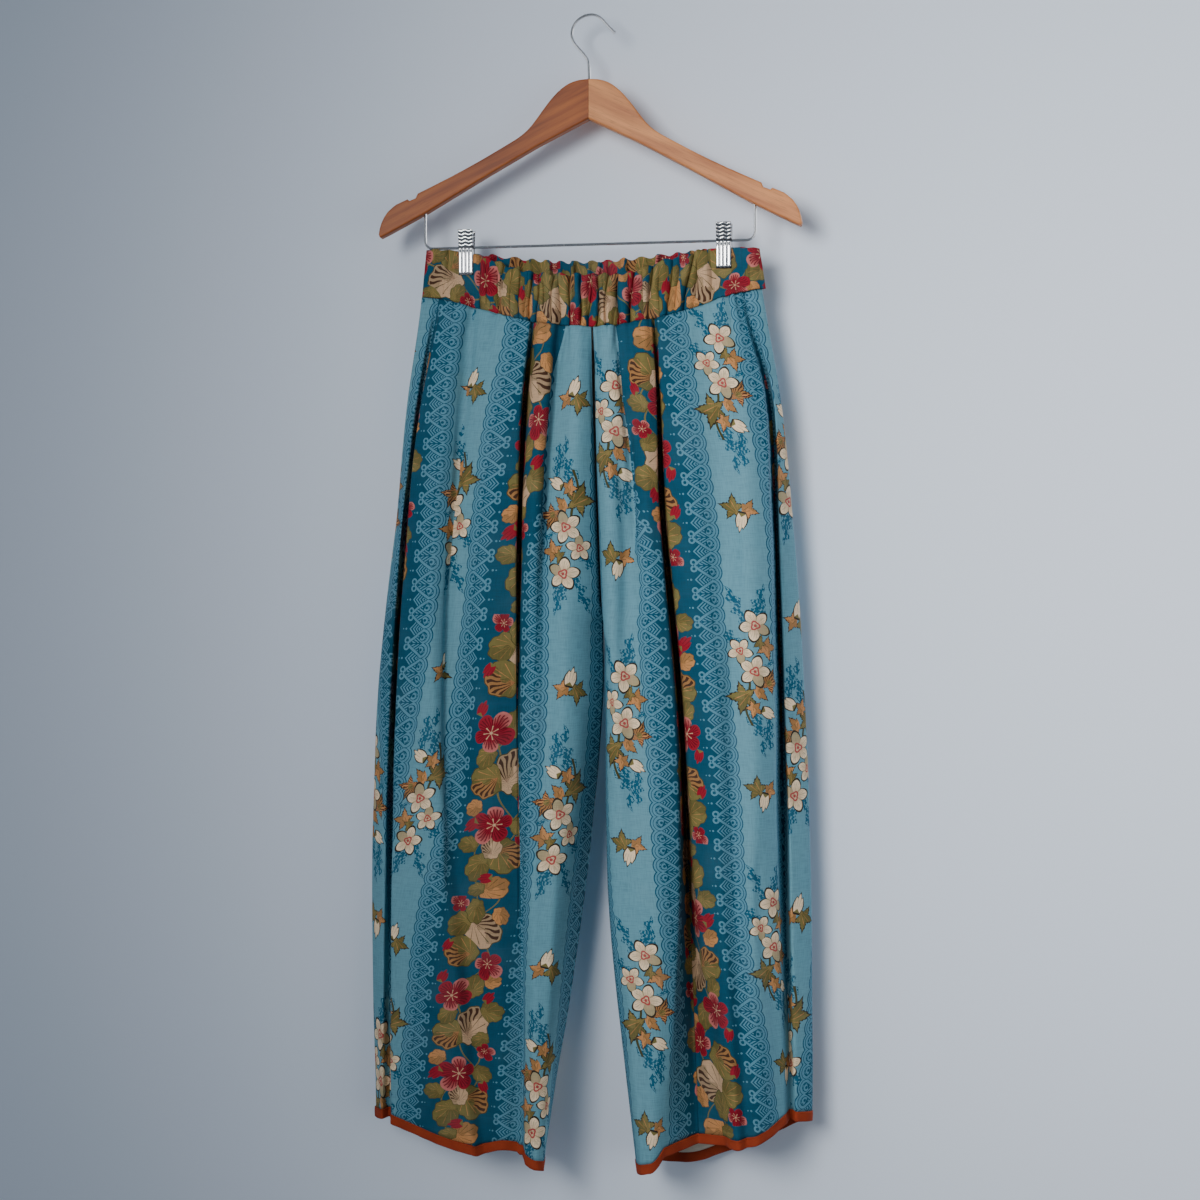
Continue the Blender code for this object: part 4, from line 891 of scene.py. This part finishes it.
def band_face(face):
    """One side of the waistband as rows of points, from its top edge down to the seam."""
    ordered = np.concatenate(leg_tops[face])
    ordered = ordered[np.argsort(ordered[:, 0])]
    up = np.linspace(1, 0, BAND_STEPS + 1)[:, None]
    seam_x = np.linspace(*BAND_SEAM_ENDS, BAND_COLUMNS + 1)[None, :]
    edge_x = np.linspace(*BAND_EDGE_ENDS, BAND_COLUMNS + 1)[None, :]
    grid = np.linspace(ordered[0, 0], ordered[-1, 0], 150)
    depth = np.interp(grid, ordered[:, 0], ordered[:, 1])
    depth[1:-1] = depth[1:-1] * 0.4 + (depth[:-2] + depth[2:]) * 0.3
    seam_y = np.interp(seam_x, grid, depth)
    near = np.minimum(seam_x - BAND_SEAM_ENDS[0], BAND_SEAM_ENDS[1] - seam_x)
    corner = np.sqrt(1 - (1 - np.clip(near / BAND_END_ROUND, 0, 1)) ** 2)
    bulge = BAND_END_BULGE * corner * (1 - eased(near / BAND_END_FADE))
    way = -1.0 if face == "front" else 1.0
    seam_y = seam_y * corner + way * bulge
    stations, heights, depths = zip(*BAND_EDGE[face])
    edge_y = curve(stations, depths, edge_x) * corner
    edge_z = curve(stations, heights, edge_x)
    seam_z = np.interp(seam_x, ordered[:, 0], ordered[:, 2]) + SEAM_GAP
    hold = sum(bell(edge_x - spot, CLIP_HOLD, 6) for spot in CLIP_PLACES.values())
    lean = up + (eased(up * 2) - up) * hold
    x = seam_x + (edge_x - seam_x) * up
    y = seam_y + (edge_y - seam_y) * lean
    z = seam_z + (edge_z - seam_z) * up
    outside = (edge_x < CLIP_PLACES["right"]) | (edge_x > CLIP_PLACES["left"])
    strength = np.where(outside, 0.5, 1.0) * (1 - hold) * np.clip(near / 10, 0, 1)
    pitch = GATHER_PITCH[face]
    run = x + 3.0 * np.sin(x / 21.0 + way) + 1.5 * np.sin(up * 4 + x / 13.0)
    puff = 1.0 - 1.7 * (1 - np.abs(np.sin(np.pi * run / pitch))) ** 2.2
    crinkle = np.sin(x / 1.9 + up * 3 + 2 * np.sin(x / 11))
    puff = puff + 0.30 * crinkle * (0.4 + eased(np.abs(up - 0.5) * 2.4))
    roll = 1.0 - 0.55 * np.abs(2 * up - 1) ** 3
    rise = GATHER_PUFF * strength * puff * roll
    for pucker in PUCKERS[face]:
        off = x - pucker.x - pucker.lean * (up - 0.5) - 1.2 * np.sin(up * 5 + pucker.x)
        rise = rise - pucker.deep * 2.0 * strength * bell(off, pucker.wide, 1.5)
    z = z + strength * 1.5 * np.sin(np.pi * run / pitch * 2 + 0.8) * eased(up * 4 - 3)
    return np.stack([x, y + way * rise, z + 0 * x], 2)


def band_cloth(points, start):
    """Each point's place on the band's cut, which runs along the floral stripe from start."""
    run = np.concatenate([[0.0], np.cumsum(row_steps(points).mean(axis=0))]) * BAND_FULLNESS
    rise = np.linspace(BAND_CUT_HALF, -BAND_CUT_HALF, points.shape[0])[:, None]
    return np.stack([DARK_MIDDLE + rise + 0 * run, run[None, :] + start + 0 * rise], 2)


front, back = band_face("front"), band_face("back")
back[:, [0, -1]] = front[:, [0, -1]]
for face, points, start in (("front", front, 20.0), ("back", back[:, ::-1], 480.0)):
    piece = shell(f"waistband_{face}_cloth", points, outward(points), BAND_THICK, printed_cotton,
                  band_cloth(points, start), reverse=0.0)
    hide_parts(f"waistband_{face}")


# ---------- hem bindings
# Rust-orange bias tape of plain cotton, folded over each raw hem and sewn through close to its edge.
# It stands a little proud of the printed cloth and ripples between its stitches.
BINDING_THICK = 2.2
STITCH_PITCH = 3.2
rust_binding, rust_shader, start = new_material("rust_binding_visual", {
    "Roughness": 0.85, "Specular IOR Level": 0.15})
cloth = start.stored("cloth")
threads = cloth.noise((1.26, 1.26, 1.4))
worn = cloth.noise((0.05, 0.05, 0.05), 3.0)
across, along, _ = cloth.parts()
tone = ((threads - 0.5) * 0.5 + worn * 0.8 + 0.05).held()
feed(rust_shader, "Base Color", tone.mix((0.20, 0.021, 0.008), (0.38, 0.060, 0.021)))
stitch = across.within(BINDING_TALL - 1.6, 0.35) * ((along / STITCH_PITCH).frac() < 0.7)
ripple = (across * 0.6 + (along / 2.3).sin() * 0.3).sin() * 0.3
bumped(rust_shader, threads * 0.6 - stitch * 1.2 + ripple, 0.0006, 0.7)

RISES = np.array([BINDING_TALL, 8.6, 7.0, 5.0, 3.0, 1.2, 0.0])
for leg in ("right", "left"):
    rows, _ = leg_surface(leg, RISES)
    rows = softened(rows, 2)[:, :-1]
    wrapped = np.hstack([rows[:, -1:], rows, rows[:, :1]])
    facing = outward(wrapped)[:, 1:-1]
    run = np.cumsum(row_steps(wrapped).mean(axis=0))[:-1]
    flat = np.stack([RISES[:, None] + 0 * run, run[None, :] + 0 * RISES[:, None]], 2)
    tuck = 0.25 * np.sin(run / 3.1)[None, :] + 0.15 * np.sin(run / 7.3 + RISES[:, None] / 2)
    rows = rows + facing * tuck[:, :, None]
    piece = shell(f"{leg}_hem_binding_cloth", rows, facing, BINDING_THICK, rust_binding, flat,
                  ring=True, reverse=0.0)
    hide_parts(f"{leg}_hem_binding")


# ---------- hanger arms
# Two boards of beech, mitred at the middle, stained a warm brown and given a thin satin lacquer. The
# both arms share one stain: the right one is painted darker as painted shade and the left one lighter as
# painted light. The grain runs down each arm.
PORE_BROWN = (0.13, 0.045, 0.018)


def coat(name, finish):
    bpy.data.objects[name].material_slots[0].material = finish


def wood(name, slope, colours, seed):
    """Stained wood with its grain along a slope in the plane of the hanger."""
    made, shader, start = new_material(name, {
        "Coat Weight": 0.06, "Coat Roughness": 0.3, "Specular IOR Level": 0.22})
    spot = start.node("ShaderNodeTexCoord", (), (), 3)
    grained = spot.node("ShaderNodeMapping", (), {
        "Vector": spot, "Location": (seed, 0.0, 0.0), "Rotation": (0, slope, 0)})
    rings = grained.noise((9.0, 60.0, 150.0), 3.0)
    pores = grained.noise((60.0, 900.0, 1500.0))
    cloud = grained.noise((12.0, 12.0, 26.0))
    tone = ((rings - 0.5) * 2.5 + (cloud - 0.5) * 0.8 + 0.5).held()
    colour = tone.mix(*colours)
    colour = ((pores > 0.62) * 0.32).mix(colour, PORE_BROWN)
    feed(shader, "Base Color", colour)
    feed(shader, "Roughness", rings * 0.14 + 0.40)
    bumped(shader, pores * 0.4 + rings, 0.0002, 0.25)
    return made


ARM_SLOPE = 26
# painted shade and painted light: the right arm's colours are a darker copy and the left arm's a lighter
# copy of one stain
for side, slope, seed, dark, light in (
        ("right", ARM_SLOPE, 0.37, (0.200, 0.046, 0.012), (0.395, 0.118, 0.030)),
        ("left", -ARM_SLOPE, 1.9, (0.385, 0.118, 0.034), (0.700, 0.285, 0.098))):
    coat(f"hanger_arm_{side}", wood(f"stained_beech_painted_light_and_shade_{side}", math.radians(slope), (dark, light), seed))

# ---------- hook, bar and clips
# Bright plated steel: the hook screws into the joint, the bar's ends are pressed up into the arms, and
# each clip is two ribbed plates on a sprung coil round the bar. Fine scuffs dull the plating a little,
# and on the clips painted shade darkens the grooves between ribs and flutes.
# the second colour is painted shade for the clips' grooves
PLATE_BRIGHT, GROOVE_PAINTED_SHADE = (0.84, 0.85, 0.87), (0.045, 0.048, 0.055)


def plated(name, low, high, dark, painted_groove_shade=False):
    """Plating of roughness low to high, scuffed from bright to dark; on the clips, painted shade darkens
    the grooves between ribs.
    """
    made, shader, start = new_material(name, {"Metallic": 1})
    spot = start.node("ShaderNodeTexCoord", (), (), 3)
    scuffs = spot.noise((900.0, 900.0, 240.0), 3.0)
    feed(shader, "Roughness", scuffs * (high - low) + low)
    colour = (scuffs * 0.5 + 0.2).mix(PLATE_BRIGHT, dark)
    if painted_groove_shade:
        proud = start.stored("cloth").parts()[0]
        # painted shade: the plating darkens where its relief is low, in the grooves between ribs and
        # flutes
        colour = ((proud - 0.15) * 2.2).held().mix(GROOVE_PAINTED_SHADE, colour)
    feed(shader, "Base Color", colour)
    return made


wire_chrome = plated("wire_chrome", 0.22, 0.30, (0.34, 0.35, 0.37))
clip_chrome = plated("clip_chrome", 0.14, 0.22, (0.70, 0.71, 0.73), painted_groove_shade=True)
for name in ("hanger_hook", "hanger_bar", "clip_right_spring", "clip_left_spring"):
    coat(name, wire_chrome)

CLIP_WIDE, CLIP_SHEET = 15.6, 0.8
CLIP_HEIGHTS = (-221.5, -240.0, -246.0, -266.0, -268.5)
CLIP_DEPTHS = (7.0, 4.4, 3.2, 2.9, 3.6)
RIBS, FLUTES, FLUTES_END = 5, 4, -267.2
high = np.linspace(CLIP_HEIGHTS[0], CLIP_HEIGHTS[-1], 91)[:, None]
part = np.linspace(0, 1, 57)[None, :]
zigzag = 0.4 * np.abs(2 * np.mod(2 * part, 1) - 1)
turns = (CLIP_HEIGHTS[0] - high) / (CLIP_HEIGHTS[0] - CLIP_HEIGHTS[1]) * RIBS + zigzag
rib = 0.5 * (1 - np.cos(2 * np.pi * turns)) * eased((high - CLIP_HEIGHTS[1]) / 1.5)
round_part = np.sqrt(1 - (2 * np.mod(FLUTES * part * 0.9999, 1) - 1) ** 2)
flute = round_part * eased((CLIP_HEIGHTS[1] - high) / 1.5) * eased((high - FLUTES_END) / 1.5)
turned = 2.4 * eased((np.abs(2 * part - 1) - 0.93) / 0.07)
out = curve(CLIP_HEIGHTS, CLIP_DEPTHS, high) + rib + flute - turned
proud = np.stack([rib + flute, 0 * (rib + flute)], 2)
for side in ("right", "left"):
    for face, way in (("front", -1), ("back", 1)):
        across = CLIP_PLACES[side] - way * (part - 0.5) * CLIP_WIDE
        points = np.stack([across + 0 * high, way * out, high + 0 * part], 2)
        piece = shell(f"clip_{side}_{face}_plate", points, outward(points), CLIP_SHEET, clip_chrome,
                      proud)
        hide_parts(f"clip_{side}_{face}")
